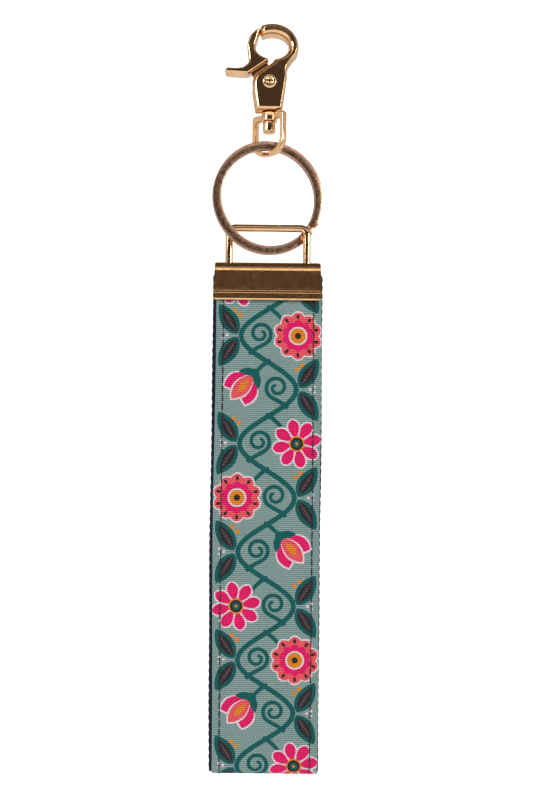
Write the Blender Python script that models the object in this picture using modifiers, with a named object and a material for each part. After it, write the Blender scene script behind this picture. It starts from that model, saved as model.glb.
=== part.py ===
"""Wristlet keychain: a trigger clasp with a swivel bail, a split ring, a wire loop,
a folded strap clamp and a sewn wrist strap.

It hangs from its clasp. The origin is the crown of the hook's eye, +Z is up, the
strap's printed face looks along -Y and its width runs along X. Lengths in metres.
"""

import math

import bmesh
import bpy
from mathutils import Vector

MM = 0.001

# ---- Clasp: hook body --------------------------------------------------------------
EYE_HALF_WIDTH = 4.75 * MM
EYE_HALF_HEIGHT = 3.45 * MM
EYE_OFFSET_X = 0.6 * MM          # the eye sits a little to the right of the rivet
EYE_ABOVE_RIVET = 10.2 * MM
HOOK_SIDE = 3.0 * MM             # the hook's bar at the side
HOOK_CROWN = 3.4 * MM            # the hook's bar at the crown
HOOK_TIP_ANGLE = 127.0           # where the bar ends, seen from the eye's middle
BODY_DEPTH = 5.6 * MM
BODY_RIGHT = 4.95 * MM           # from the rivet's axis to the right wall
BODY_LEFT = 5.2 * MM             # and to the left wall
BODY_FOOT_RIGHT = 3.8 * MM       # the foot is narrower than the body
BODY_FOOT_LEFT = 4.3 * MM
BODY_BELOW_RIVET = 7.6 * MM
BODY_EDGE = 1.0 * MM             # cast draft round the body's faces
# ---- Clasp: lever, rivet and spring ------------------------------------------------
LEVER_ARM = 2.45 * MM
LEVER_DEPTH = 5.4 * MM
LEVER_EDGE = 0.3 * MM
LEVER_NOSE_RADIUS = 0.5 * MM     # rounds the lever's tip and the end of its slanted foot
LEVER_BODY_GAP = 0.8 * MM        # between the lever's slanted foot and the body
TIP_GAP = 0.15 * MM              # between the lever's tip and the hook's tip
TAB_REACH = 13.0 * MM            # thumb tab's end, from the rivet's axis
TAB_HEIGHT = 1.9 * MM
TONGUE_DEPTH = 1.1 * MM
TONGUE_RADIUS = 3.0 * MM
SLOT_DEPTH = 2.9 * MM
SLOT_RADIUS = 4.1 * MM
SLOT_PLAY = 0.15 * MM            # tongue to slot wall
RIVET_RADIUS = 1.2 * MM
RIVET_HEAD_RADIUS = 2.05 * MM
RIVET_HEAD_HEIGHT = 0.35 * MM
PIN_PLAY = 0.08 * MM             # radial, at every pin that turns
PRESS_GAP = 0.05 * MM            # radial, where a pin is pressed in and stays
FACE_GAP = 0.06 * MM             # between faces that rest on each other
SPRING_WIRE = 0.36 * MM
SPRING_TURNS = 2.25
SPRING_COIL_RADIUS = 1.75 * MM
SPRING_LEG = 4.6 * MM            # from the rivet's axis to the legs' ends
# ---- Swivel ------------------------------------------------------------------------
STEM_RADIUS = 1.05 * MM
STEM_BORE = 2.4 * MM             # how deep the stem sits in the body
STEM_HEAD_RADIUS = 1.85 * MM
STEM_HEAD_HEIGHT = 3.2 * MM
SWIVEL_PLAY = 0.2 * MM           # end play of the bail on its stem
BAIL_HALF_WIDTH = 6.0 * MM
BAIL_LEG = 1.9 * MM
BAIL_TOP_BAR = 1.9 * MM
BAIL_FOOT_BAR = 1.35 * MM
BAIL_WINDOW_HEIGHT = 9.1 * MM
BAIL_BOW_POWER = 2.6             # 2 is an ellipse, more is fuller
BAIL_DEPTH = 2.0 * MM
BAIL_EDGE = 0.4 * MM
BAIL_BOSS_RADIUS = 1.9 * MM
BAIL_BOSS_HEIGHT = 3.3 * MM
BAIL_BOSS_RISE = 1.0 * MM        # the boss stands this far above the top bar
BAIL_TURN = -40.0                # degrees about Z, as the bail hangs
# ---- Split ring --------------------------------------------------------------------
RING_INNER_RADIUS = 13.9 * MM
RING_BAND = 2.5 * MM
RING_COIL = 1.06 * MM
RING_COIL_GAP = 0.06 * MM
RING_END_ANGLE = -31.0           # degrees, where the front coil is cut
RING_STEP = 20.0                 # degrees in which the wire passes to the next coil
RING_REST_GAP = 0.4 * MM         # ring to the bail's foot bar
# ---- Wire loop ---------------------------------------------------------------------
WIRE_RADIUS = 1.1 * MM
LOOP_HALF_WIDTH = 12.4 * MM      # outer
LOOP_HEIGHT = 12.25 * MM         # between the axes of its two bars
LOOP_CORNER = 1.9 * MM           # on the wire's axis
LOOP_FOOT_CORNER = 1.3 * MM
LOOP_BUTT_GAP = 0.6 * MM         # between the wire's two ends, inside the clamp
LOOP_SLACK = 4.15 * MM           # between the upper bar and the ring's bottom
RING_LOOP_PLAY = 0.14 * MM
# ---- Strap clamp -------------------------------------------------------------------
CLAMP_HEIGHT = 10.5 * MM
CLAMP_TOP_MARGIN = 0.7 * MM      # the webbing is wider than the clamp, on each side
CLAMP_FOOT_MARGIN = 0.2 * MM
CLAMP_SHEET = 0.75 * MM
CLAMP_BEAD = 1.1 * MM            # radius of the rolled lip
CLAMP_BEAD_PROUD = 0.35 * MM     # how far the lip stands out from the face
CLAMP_STRAP_GAP = 0.28 * MM      # between the sheet and the ribbon
BAR_PLAY = 0.15 * MM             # between the wire's lower bar and the clamp's fold
LEG_SLOT_PLAY = 0.3 * MM
# ---- Strap -------------------------------------------------------------------------
STRAP_BELOW_CLAMP = 137.6 * MM
WEBBING_WIDTH = 31.8 * MM
WEBBING_THICKNESS = 1.5 * MM
RIBBON_MARGIN = 0.7 * MM         # webbing left bare on each side, on average
RIBBON_THICKNESS = 0.35 * MM
RIBBON_OFFSET_X = 0.35 * MM
LAYER_GAP = 0.7 * MM             # between the two webbing layers at the clamp
FOLD_INNER_RADIUS = 0.7 * MM
LAYER_BOW = 2.6 * MM             # how far each layer bows out, half way down
STITCH_INSET = 2.2 * MM          # from the ribbon's edge to the stitch row
THREAD_WIDTH = 0.4 * MM
THREAD_THICKNESS = 0.18 * MM
FLEX_BELOW_CLAMP = 3.2 * MM      # where the strap bends under the clamp
END_BELOW_CLAMP = 0.9 * MM       # the clamped ends show this much under the lip
CLAMPED_LENGTH = 6.8 * MM        # webbing held inside the clamp
BAR_CLEARANCE = 0.4 * MM         # webbing's end to the wire's lower bar

# ---- Sizes that follow from those --------------------------------------------------
RIBBON_WIDTH = WEBBING_WIDTH - 2 * RIBBON_MARGIN
CLAMP_TOP_WIDTH = WEBBING_WIDTH - 2 * CLAMP_TOP_MARGIN
CLAMP_FOOT_WIDTH = WEBBING_WIDTH - 2 * CLAMP_FOOT_MARGIN
BAR_BELOW_TOP = CLAMP_SHEET + BAR_PLAY + WIRE_RADIUS
RIBBON_OUTER = FACE_GAP + RIBBON_THICKNESS
STACK_HALF = LAYER_GAP / 2 + WEBBING_THICKNESS + RIBBON_OUTER
CLAMP_HALF_DEPTH = STACK_HALF + CLAMP_STRAP_GAP + CLAMP_SHEET

# ---- Places, from the crown down ---------------------------------------------------
RIVET_Z = -(EYE_ABOVE_RIVET + EYE_HALF_HEIGHT)
BODY_FOOT_Z = RIVET_Z - BODY_BELOW_RIVET
BOSS_TOP_Z = BODY_FOOT_Z - SWIVEL_PLAY
BOSS_FOOT_Z = BOSS_TOP_Z - BAIL_BOSS_HEIGHT
HEAD_TOP_Z = BOSS_FOOT_Z - SWIVEL_PLAY
BAIL_TOP_Z = BOSS_TOP_Z - BAIL_BOSS_RISE
BAIL_WINDOW_TOP_Z = BAIL_TOP_Z - BAIL_TOP_BAR
BAIL_SEAT_Z = BAIL_WINDOW_TOP_Z - BAIL_WINDOW_HEIGHT
RING_BAND_Z = BAIL_SEAT_Z + RING_REST_GAP + RING_BAND / 2
RING_MEAN_RADIUS = RING_INNER_RADIUS + RING_BAND / 2
RING_Z = RING_BAND_Z - RING_MEAN_RADIUS
RING_THICKNESS = 2 * RING_COIL + RING_COIL_GAP
LOOP_BAR_Z = RING_Z - RING_INNER_RADIUS + LOOP_SLACK + WIRE_RADIUS
LOOP_FOOT_Z = LOOP_BAR_Z - LOOP_HEIGHT
LOOP_LEG_X = LOOP_HALF_WIDTH - WIRE_RADIUS
CLAMP_TOP_Z = LOOP_FOOT_Z + BAR_BELOW_TOP
CLAMP_FOOT_Z = CLAMP_TOP_Z - CLAMP_HEIGHT
FLEX_Z = CLAMP_FOOT_Z - FLEX_BELOW_CLAMP
STRAP_FOOT_Z = CLAMP_FOOT_Z - STRAP_BELOW_CLAMP
FOLD_Z = STRAP_FOOT_Z + FOLD_INNER_RADIUS + WEBBING_THICKNESS + RIBBON_OUTER
# The ring is skewed just enough to pass in front of one leg of the loop and behind the other.
CROSSING_X = math.sqrt(RING_INNER_RADIUS ** 2 - (RING_Z - LOOP_BAR_Z) ** 2)
RING_SKEW = math.asin((RING_THICKNESS / 2 + WIRE_RADIUS + RING_LOOP_PLAY) / CROSSING_X)

GOLD = (0.83, 0.62, 0.33, 1.0)
BRONZE = (0.36, 0.25, 0.18, 1.0)
STEEL = (0.55, 0.55, 0.56, 1.0)
NAVY = (0.012, 0.018, 0.045, 1.0)
SAGE = (0.33, 0.46, 0.42, 1.0)
BLACK = (0.015, 0.015, 0.017, 1.0)

FRONT = (math.radians(90), 0.0, 0.0)          # an outline's x, y become world X, Z
SIDE = (math.radians(90), 0.0, math.radians(90))  # an outline's x, y become world Y, Z


def clear_scene():
    for obj in list(bpy.data.objects):
        bpy.data.objects.remove(obj, do_unlink=True)


def new_collection(name):
    coll = bpy.data.collections.new(name)
    bpy.context.scene.collection.children.link(coll)
    return coll


def finish(name, color, roughness, metallic):
    mat = bpy.data.materials.new(name)
    mat.use_nodes = True
    shader = mat.node_tree.nodes["Principled BSDF"]
    shader.inputs["Base Color"].default_value = color
    shader.inputs["Roughness"].default_value = roughness
    shader.inputs["Metallic"].default_value = metallic
    return mat


def empty(name, place, coll, parent=None, turn=(0.0, 0.0, 0.0)):
    obj = bpy.data.objects.new(name, None)
    obj.empty_display_size = 3 * MM
    obj.rotation_euler = turn
    coll.objects.link(obj)
    put(obj, place, parent)
    return obj


def put(obj, place, parent=None):
    """Places obj at a world position, under a parent where one is given."""
    obj.location = place
    if parent is not None:
        bpy.context.view_layer.update()
        obj.parent = parent
        obj.matrix_parent_inverse = parent.matrix_world.inverted()


def as_mesh(curve_obj, coll):
    """Turns a curve object into a welded mesh object of the same name and place."""
    name = curve_obj.name
    bpy.context.view_layer.update()
    evaluated = curve_obj.evaluated_get(bpy.context.evaluated_depsgraph_get())
    mesh = bpy.data.meshes.new_from_object(evaluated)
    bm = bmesh.new()
    bm.from_mesh(mesh)
    bmesh.ops.remove_doubles(bm, verts=bm.verts, dist=0.001 * MM)
    bmesh.ops.dissolve_limit(bm, angle_limit=math.radians(0.5), verts=bm.verts, edges=bm.edges)
    bmesh.ops.recalc_face_normals(bm, faces=bm.faces)
    bm.to_mesh(mesh)
    bm.free()
    place = curve_obj.matrix_world.copy()
    bpy.data.objects.remove(curve_obj, do_unlink=True)
    obj = bpy.data.objects.new(name, mesh)
    obj.matrix_world = place
    coll.objects.link(obj)
    return obj


def flat_solid(name, loops, depth, turn, coll):
    """A flat outline, with holes where loops lie inside each other, made depth thick."""
    data = bpy.data.curves.new(name, "CURVE")
    data.dimensions = "2D"
    data.fill_mode = "BOTH"
    data.extrude = depth / 2
    for loop in loops:
        spline = data.splines.new("POLY")
        spline.points.add(len(loop) - 1)
        for point, (u, v) in zip(spline.points, loop):
            point.co = (u, v, 0.0, 1.0)
        spline.use_cyclic_u = True
    obj = bpy.data.objects.new(name, data)
    obj.rotation_euler = turn
    coll.objects.link(obj)
    return as_mesh(obj, coll)


def wire(name, points, radius, coll, resolution=2):
    """A round wire along the points, with its two ends closed."""
    data = bpy.data.curves.new(name, "CURVE")
    data.dimensions = "3D"
    data.fill_mode = "FULL"
    data.bevel_depth = radius
    data.bevel_resolution = resolution
    data.use_fill_caps = True
    spline = data.splines.new("POLY")
    spline.points.add(len(points) - 1)
    for point, co in zip(spline.points, points):
        point.co = (*co, 1.0)
    obj = bpy.data.objects.new(name, data)
    coll.objects.link(obj)
    return as_mesh(obj, coll)


def turned(name, profile, coll, steps=24):
    """A solid of revolution about Z. The profile is (radius, z), top to bottom."""
    mesh = bpy.data.meshes.new(name)
    points = [(r, 0.0, z) for r, z in profile]
    mesh.from_pydata(points, [(i, i + 1) for i in range(len(points) - 1)], [])
    obj = bpy.data.objects.new(name, mesh)
    coll.objects.link(obj)
    screw = obj.modifiers.new("Turn", "SCREW")
    screw.axis = "Z"
    screw.steps = steps
    screw.render_steps = steps
    screw.use_merge_vertices = True
    screw.merge_threshold = 0.01 * MM
    return obj


def soften(obj, width, segments=2, angle=35.0):
    bevel = obj.modifiers.new("Edge", "BEVEL")
    bevel.width = width
    bevel.segments = segments
    bevel.limit_method = "ANGLE"
    bevel.angle_limit = math.radians(angle)
    bevel.use_clamp_overlap = False
    return bevel


def boolean(obj, other, operation):
    mod = obj.modifiers.new(operation.title(), "BOOLEAN")
    mod.object = other
    mod.operation = operation
    mod.solver = "EXACT"
    return mod


def cutter(obj):
    """Hides a shape that only cuts or joins another."""
    obj.hide_render = True
    obj.display_type = "WIRE"
    return obj


def ellipse_arc(middle, half_width, half_height, start, end, count):
    """Points from angle start to end, in degrees."""
    points = []
    for i in range(count):
        a = math.radians(start + (end - start) * i / (count - 1))
        points.append((middle[0] + half_width * math.cos(a), middle[1] + half_height * math.sin(a)))
    return points


def arc(middle, radius, start, end, count):
    return ellipse_arc(middle, radius, radius, start, end, count)


def smooth_run(points, count):
    """A smooth curve through the points, count steps between each two."""
    run = []
    last = len(points) - 1
    for i in range(last):
        before = Vector(points[max(i - 1, 0)])
        a = Vector(points[i])
        b = Vector(points[i + 1])
        after = Vector(points[min(i + 2, last)])
        for k in range(count):
            t = k / count
            run.append(tuple(0.5 * (2 * a + (b - before) * t
                                    + (2 * before - 5 * a + 4 * b - after) * t ** 2
                                    + (3 * a - before - 3 * b + after) * t ** 3)))
    run.append(tuple(points[last]))
    return run


# ---- Clasp ---------------------------------------------------------------------------
EYE_MIDDLE = (EYE_OFFSET_X, EYE_ABOVE_RIVET)
EYE_LOW_ANGLE = -82.0            # where the eye meets the V between the jaws


def eye_wall(start, end, count):
    """The wall of the eye's opening, which the hook and the lever share."""
    return ellipse_arc(EYE_MIDDLE, EYE_HALF_WIDTH, EYE_HALF_HEIGHT, start, end, count)


def hook_outline():
    """Round the hook and its body, with the rivet's axis at the origin."""
    eye = eye_wall(EYE_LOW_ANGLE, HOOK_TIP_ANGLE, 20)
    outer_width = EYE_HALF_WIDTH + HOOK_SIDE
    outer_height = EYE_HALF_HEIGHT + HOOK_CROWN
    crown = ellipse_arc(EYE_MIDDLE, outer_width, outer_height, HOOK_TIP_ANGLE - 12, -20, 16)
    tip_middle = ((eye[-1][0] + crown[0][0]) / 2, (eye[-1][1] + crown[0][1]) / 2)
    nose = (tip_middle[0] - 0.55 * MM, tip_middle[1] - 0.1 * MM)
    tip = smooth_run([eye[-1], nose, crown[0]], 3)[1:-1]
    neck = smooth_run([crown[-1],
                       (BODY_RIGHT + 1.15 * MM, 5.65 * MM),
                       (BODY_RIGHT + 0.1 * MM, 3.4 * MM),
                       (BODY_RIGHT, 0.6 * MM),
                       (BODY_FOOT_RIGHT, -BODY_BELOW_RIVET)], 3)[1:]
    shoulder = smooth_run([(-BODY_FOOT_LEFT, -BODY_BELOW_RIVET),
                           (-BODY_LEFT, -1.5 * MM),
                           (-BODY_LEFT + 0.6 * MM, 1.9 * MM),
                           (-3.0 * MM, 3.4 * MM),
                           (-1.0 * MM, 4.75 * MM),
                           (0.55 * MM, 5.75 * MM)], 3)
    return eye + tip + crown + neck + shoulder


def hook_body(coll, cutters, gold, parent):
    obj = flat_solid("hook_body", [hook_outline()], BODY_DEPTH, FRONT, coll)
    put(obj, (0.0, 0.0, RIVET_Z), parent)
    soften(obj, BODY_EDGE, segments=3)
    slot = flat_solid("lever_slot", [slot_outline()], SLOT_DEPTH, FRONT, cutters)
    put(cutter(slot), (0.0, 0.0, RIVET_Z), parent)
    boolean(obj, slot, "DIFFERENCE")
    pin_hole = pin_cutter("rivet_hole", RIVET_RADIUS + PRESS_GAP, 4 * BODY_DEPTH, cutters)
    put(pin_hole, (0.0, 0.0, RIVET_Z), parent)
    boolean(obj, pin_hole, "DIFFERENCE")
    depth = STEM_BORE + FACE_GAP
    bore = pin_cutter("stem_bore", STEM_RADIUS + PRESS_GAP, 2 * depth, cutters, upright=True)
    put(bore, (0.0, 0.0, BODY_FOOT_Z), parent)
    boolean(obj, bore, "DIFFERENCE")
    obj.data.materials.append(gold)
    return obj


def slot_outline():
    """The lever's slot: round at the rivet, open to the left and to the jaws."""
    low = -2.6 * MM
    round_part = arc((0.0, 0.0), SLOT_RADIUS, -140.6, 80.0, 16)
    out = -BODY_LEFT - 4 * MM
    high = EYE_ABOVE_RIVET - EYE_HALF_HEIGHT + 0.8 * MM
    return round_part + [(0.2 * MM, SLOT_RADIUS + 0.8 * MM), (0.2 * MM, high), (out, high), (out, low)]


def pin_cutter(name, radius, length, cutters, upright=False):
    bpy.ops.mesh.primitive_cylinder_add(vertices=32, radius=radius, depth=length)
    obj = bpy.context.object
    obj.name = name
    if not upright:
        obj.rotation_euler = FRONT
    for coll in list(obj.users_collection):
        coll.objects.unlink(obj)
    cutters.objects.link(obj)
    return cutter(obj)


def lever_outline():
    """The lever's thick part: the arm beside the eye, its slanted foot and the thumb tab."""
    slant = Vector((0.826, 0.563))
    away = Vector((-0.563, 0.826))
    foot = 4.48 * MM + LEVER_BODY_GAP
    foot_left = away * foot - slant * 4.0 * MM
    round_end = LEVER_NOSE_RADIUS
    foot_middle = away * (foot + round_end) + slant * 2.88 * MM
    foot_right = arc(foot_middle, round_end, -56.0, 78.0, 5)
    inner = eye_wall(-109.0, -191.0, 8)
    tip_middle = (hook_tip_left() - TIP_GAP - round_end, EYE_ABOVE_RIVET + 4.55 * MM)
    tip = arc(tip_middle, round_end, -35.0, 105.0, 6)
    outer_x = EYE_OFFSET_X - EYE_HALF_WIDTH - LEVER_ARM
    back = smooth_run([tip[-1],
                       (outer_x + 0.75 * MM, EYE_ABOVE_RIVET + 2.9 * MM),
                       (outer_x, EYE_ABOVE_RIVET + 0.4 * MM),
                       (outer_x + 0.3 * MM, EYE_ABOVE_RIVET - 2.6 * MM),
                       (outer_x + 0.25 * MM, EYE_ABOVE_RIVET - 4.7 * MM),
                       (outer_x - 1.2 * MM, EYE_ABOVE_RIVET - 6.0 * MM)], 4)
    tab_top = 4.1 * MM
    end = TAB_HEIGHT / 2
    tab = arc((-TAB_REACH + end, tab_top - end), end, 100.0, 260.0, 6)
    return inner + tip[:-1] + back + tab + [tuple(foot_left)] + foot_right


def hook_tip_left():
    return min(x for x, z in hook_outline() if z > EYE_ABOVE_RIVET + EYE_HALF_HEIGHT / 2)


def trigger_lever(coll, cutters, gold, parent):
    """The lever turns on the rivet. Its thin tongue runs in the body's slot."""
    obj = flat_solid("trigger_lever", [lever_outline()], LEVER_DEPTH, FRONT, coll)
    put(obj, (0.0, 0.0, RIVET_Z), parent)
    soften(obj, LEVER_EDGE, angle=60.0)
    tongue_y = -SLOT_DEPTH / 2 + SLOT_PLAY + TONGUE_DEPTH / 2
    hub = arc((0.0, 0.0), TONGUE_RADIUS, 205.0, 425.0, 18)
    web = [(-1.4 * MM, 6.2 * MM), (-5.9 * MM, 3.2 * MM)]
    tongue = flat_solid("lever_tongue", [hub + web], TONGUE_DEPTH, FRONT, cutters)
    put(cutter(tongue), (0.0, tongue_y, RIVET_Z), parent)
    boolean(obj, tongue, "UNION")
    hole = pin_cutter("lever_hole", RIVET_RADIUS + PIN_PLAY, 4 * BODY_DEPTH, cutters)
    put(hole, (0.0, 0.0, RIVET_Z), parent)
    boolean(obj, hole, "DIFFERENCE")
    obj.data.materials.append(gold)
    return obj


def pivot_rivet(coll, gold, parent):
    """A peened rivet through both cheeks of the body."""
    face = BODY_DEPTH / 2 + FACE_GAP
    top = face + RIVET_HEAD_HEIGHT
    dish = [(0.0, top - 0.2 * MM), (RIVET_HEAD_RADIUS * 0.4, top - 0.16 * MM)]
    head = [(RIVET_HEAD_RADIUS * 0.7, top), (RIVET_HEAD_RADIUS * 0.92, top - 0.08 * MM)]
    rim = [(RIVET_HEAD_RADIUS, face), (RIVET_RADIUS, face)]
    upper = dish + head + rim
    lower = [(r, -z) for r, z in reversed(upper)]
    obj = turned("pivot_rivet", upper + lower, coll)
    obj.rotation_euler = FRONT
    put(obj, (0.0, 0.0, RIVET_Z), parent)
    obj.data.materials.append(gold)
    return obj


def lever_spring(coll, steel, parent):
    """A torsion spring round the rivet, beside the tongue, pushing the lever shut."""
    start_y = SLOT_DEPTH / 2 - SLOT_PLAY - SPRING_WIRE / 2
    pitch = SPRING_WIRE + FACE_GAP
    steps = round(SPRING_TURNS * 16)
    begin = math.radians(-130)
    points = [spring_leg_end(begin, start_y)]
    for i in range(steps + 1):
        turn = i / 16
        a = begin + turn * 2 * math.pi
        y = start_y - pitch * turn
        points.append((SPRING_COIL_RADIUS * math.cos(a), y, SPRING_COIL_RADIUS * math.sin(a)))
    end = begin + steps / 16 * 2 * math.pi
    tangent = Vector((-math.sin(end), 0.0, math.cos(end)))
    points.append(tuple(Vector(points[-1]) + tangent * (SPRING_LEG - SPRING_COIL_RADIUS)))
    obj = wire("lever_spring", points, SPRING_WIRE / 2, coll)
    put(obj, (0.0, 0.0, RIVET_Z), parent)
    obj.data.materials.append(steel)
    return obj


def spring_leg_end(angle, y):
    """The fixed leg leaves the coil along its tangent."""
    first = Vector((SPRING_COIL_RADIUS * math.cos(angle), y, SPRING_COIL_RADIUS * math.sin(angle)))
    tangent = Vector((math.sin(angle), 0.0, -math.cos(angle)))
    return tuple(first + tangent * 1.6 * MM)


def swivel_stem(coll, gold, parent):
    """The stem is pressed into the body; its head carries the bail."""
    head_foot = HEAD_TOP_Z - STEM_HEAD_HEIGHT
    profile = [(0.0, BODY_FOOT_Z + STEM_BORE),
               (STEM_RADIUS, BODY_FOOT_Z + STEM_BORE),
               (STEM_RADIUS, HEAD_TOP_Z),
               (STEM_HEAD_RADIUS * 0.92, HEAD_TOP_Z),
               (STEM_HEAD_RADIUS, HEAD_TOP_Z - 0.2 * MM),
               (STEM_HEAD_RADIUS, head_foot + 0.8 * MM),
               (STEM_HEAD_RADIUS * 0.85, head_foot + 0.25 * MM),
               (STEM_HEAD_RADIUS * 0.5, head_foot),
               (0.0, head_foot)]
    obj = turned("swivel_stem", [(r, z - BODY_FOOT_Z) for r, z in profile], coll)
    put(obj, (0.0, 0.0, BODY_FOOT_Z), parent)
    obj.data.materials.append(gold)
    return obj


def bail_outlines():
    """The bail's outer and inner outline, with the boss's foot at the origin."""
    top = BAIL_TOP_Z - BOSS_FOOT_Z
    window_top = BAIL_WINDOW_TOP_Z - BOSS_FOOT_Z
    seat = BAIL_SEAT_Z - BOSS_FOOT_Z
    foot = seat - BAIL_FOOT_BAR
    outer_corner = 2.2 * MM
    inner_corner = 1.2 * MM
    outer_bow = 5.6 * MM
    inner_bow = 4.4 * MM
    inner_width = BAIL_HALF_WIDTH - BAIL_LEG
    outer = link_outline(BAIL_HALF_WIDTH, top, foot, outer_corner, outer_bow)
    inner = link_outline(inner_width, window_top, seat, inner_corner, inner_bow)
    return [outer, inner]


def link_outline(half_width, top, foot, corner, bow):
    """Round corners at the top and a full bow, flatter than an ellipse, at the foot."""
    right = arc((half_width - corner, top - corner), corner, 90.0, 0.0, 5)
    base = []
    for i in range(17):
        a = math.radians(-180.0 * i / 16)
        across = math.copysign(abs(math.cos(a)) ** (2 / BAIL_BOW_POWER), math.cos(a))
        down = abs(math.sin(a)) ** (2 / BAIL_BOW_POWER)
        base.append((half_width * across, foot + bow * (1 - down)))
    left = arc((-half_width + corner, top - corner), corner, 180.0, 90.0, 5)
    return right + base + left


def swivel_bail(coll, cutters, gold, parent):
    turn = (math.radians(90), 0.0, math.radians(BAIL_TURN))
    obj = flat_solid("swivel_bail", bail_outlines(), BAIL_DEPTH, turn, coll)
    put(obj, (0.0, 0.0, BOSS_FOOT_Z), parent)
    soften(obj, BAIL_EDGE)
    boss = turned("bail_boss", [(0.0, BAIL_BOSS_HEIGHT),
                                (BAIL_BOSS_RADIUS * 0.85, BAIL_BOSS_HEIGHT),
                                (BAIL_BOSS_RADIUS * 0.9, 0.9 * MM),
                                (BAIL_BOSS_RADIUS * 1.12, 0.4 * MM),
                                (BAIL_BOSS_RADIUS * 1.12, 0.0),
                                (0.0, 0.0)], cutters)
    put(cutter(boss), (0.0, 0.0, BOSS_FOOT_Z), parent)
    boolean(obj, boss, "UNION")
    length = 3 * BAIL_BOSS_HEIGHT
    bore = pin_cutter("bail_bore", STEM_RADIUS + PIN_PLAY, length, cutters, upright=True)
    put(bore, (0.0, 0.0, BOSS_FOOT_Z), parent)
    boolean(obj, bore, "DIFFERENCE")
    obj.data.materials.append(gold)
    return obj


# ---- Ring, loop and clamp --------------------------------------------------------------
def split_ring(coll, bronze, parent):
    """Flat wire wound twice, stepping from the front coil to the back one at its ends."""
    per_turn = 44
    offset = (RING_COIL + RING_COIL_GAP) / 2
    cut = 3.0                                  # degrees left open beyond each end
    points = []
    for i in range(2 * per_turn + 1):
        along = i / (2 * per_turn)
        swept = cut + along * (720.0 - RING_STEP - 2 * cut)
        side = step_between(swept, 360.0 - RING_STEP + cut, 360.0)
        a = math.radians(RING_END_ANGLE + swept)
        y = -offset + 2 * offset * side
        points.append((RING_MEAN_RADIUS * math.cos(a), RING_MEAN_RADIUS * math.sin(a), -y))
    return ring_from(points, coll, bronze, parent)


def step_between(value, low, high):
    t = min(max((value - low) / (high - low), 0.0), 1.0)
    return t * t * (3 - 2 * t)


def ring_from(points, coll, bronze, parent):
    section = bpy.data.curves.new("ring_section", "CURVE")
    section.dimensions = "2D"
    outline = section.splines.new("POLY")
    half = (RING_BAND / 2, RING_COIL / 2)
    chamfer = 0.25 * MM
    corners = [(half[0], half[1] - chamfer), (half[0] - chamfer, half[1])]
    loop = corners + [(-x, y) for x, y in reversed(corners)]
    loop += [(-x, -y) for x, y in corners] + [(x, -y) for x, y in reversed(corners)]
    outline.points.add(len(loop) - 1)
    for point, (u, v) in zip(outline.points, loop):
        point.co = (u, v, 0.0, 1.0)
    outline.use_cyclic_u = True
    profile = bpy.data.objects.new("ring_section", section)
    coll.objects.link(profile)
    data = bpy.data.curves.new("split_ring", "CURVE")
    data.dimensions = "3D"
    data.bevel_mode = "OBJECT"
    data.bevel_object = profile
    data.use_fill_caps = True
    data.twist_mode = "Z_UP"
    spline = data.splines.new("POLY")
    spline.points.add(len(points) - 1)
    for point, co in zip(spline.points, points):
        point.co = (*co, 1.0)
    path = bpy.data.objects.new("split_ring", data)
    coll.objects.link(path)
    obj = as_mesh(path, coll)
    bpy.data.objects.remove(profile, do_unlink=True)
    obj.rotation_euler = (math.radians(90), 0.0, RING_SKEW)
    put(obj, (0.0, 0.0, RING_Z), parent)
    obj.data.materials.append(bronze)
    return obj


def wire_loop(coll, gold, parent):
    """Round wire bent to a rectangle. Its ends meet inside the clamp."""
    top = LOOP_HEIGHT
    x = LOOP_LEG_X
    c = LOOP_CORNER
    low = LOOP_FOOT_CORNER
    outline = [(-LOOP_BUTT_GAP / 2, 0.0)]
    outline += arc((-x + low, low), low, 270.0, 180.0, 6)
    outline += arc((-x + c, top - c), c, 180.0, 90.0, 6)
    outline += [(-x / 3, top), (x / 3, top)]
    outline += arc((x - c, top - c), c, 90.0, 0.0, 6)
    outline += arc((x - low, low), low, 0.0, -90.0, 6)
    outline += [(LOOP_BUTT_GAP / 2, 0.0)]
    obj = wire("wire_loop", [(u, 0.0, v) for u, v in outline], WIRE_RADIUS, coll, resolution=5)
    put(obj, (0.0, 0.0, LOOP_FOOT_Z), parent)
    obj.data.materials.append(gold)
    return obj


def clamp_section():
    """Half of the clamp's outer section as (y, z), from its top down to the curled lip."""
    top = CLAMP_TOP_Z - LOOP_FOOT_Z
    foot = CLAMP_FOOT_Z - LOOP_FOOT_Z
    face = CLAMP_HALF_DEPTH
    bead = (face + CLAMP_BEAD_PROUD - CLAMP_BEAD, foot + CLAMP_BEAD)
    roll = arc(bead, CLAMP_BEAD, 40.0, -80.0, 6)
    shoulder = arc((face - 1.5 * MM, top - 1.1 * MM), 1.1 * MM, 90.0, 20.0, 5)
    run = [(0.0, top)] + shoulder + [(face, top - 2.6 * MM), (face, foot + 2.3 * MM)]
    return run + roll


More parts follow.
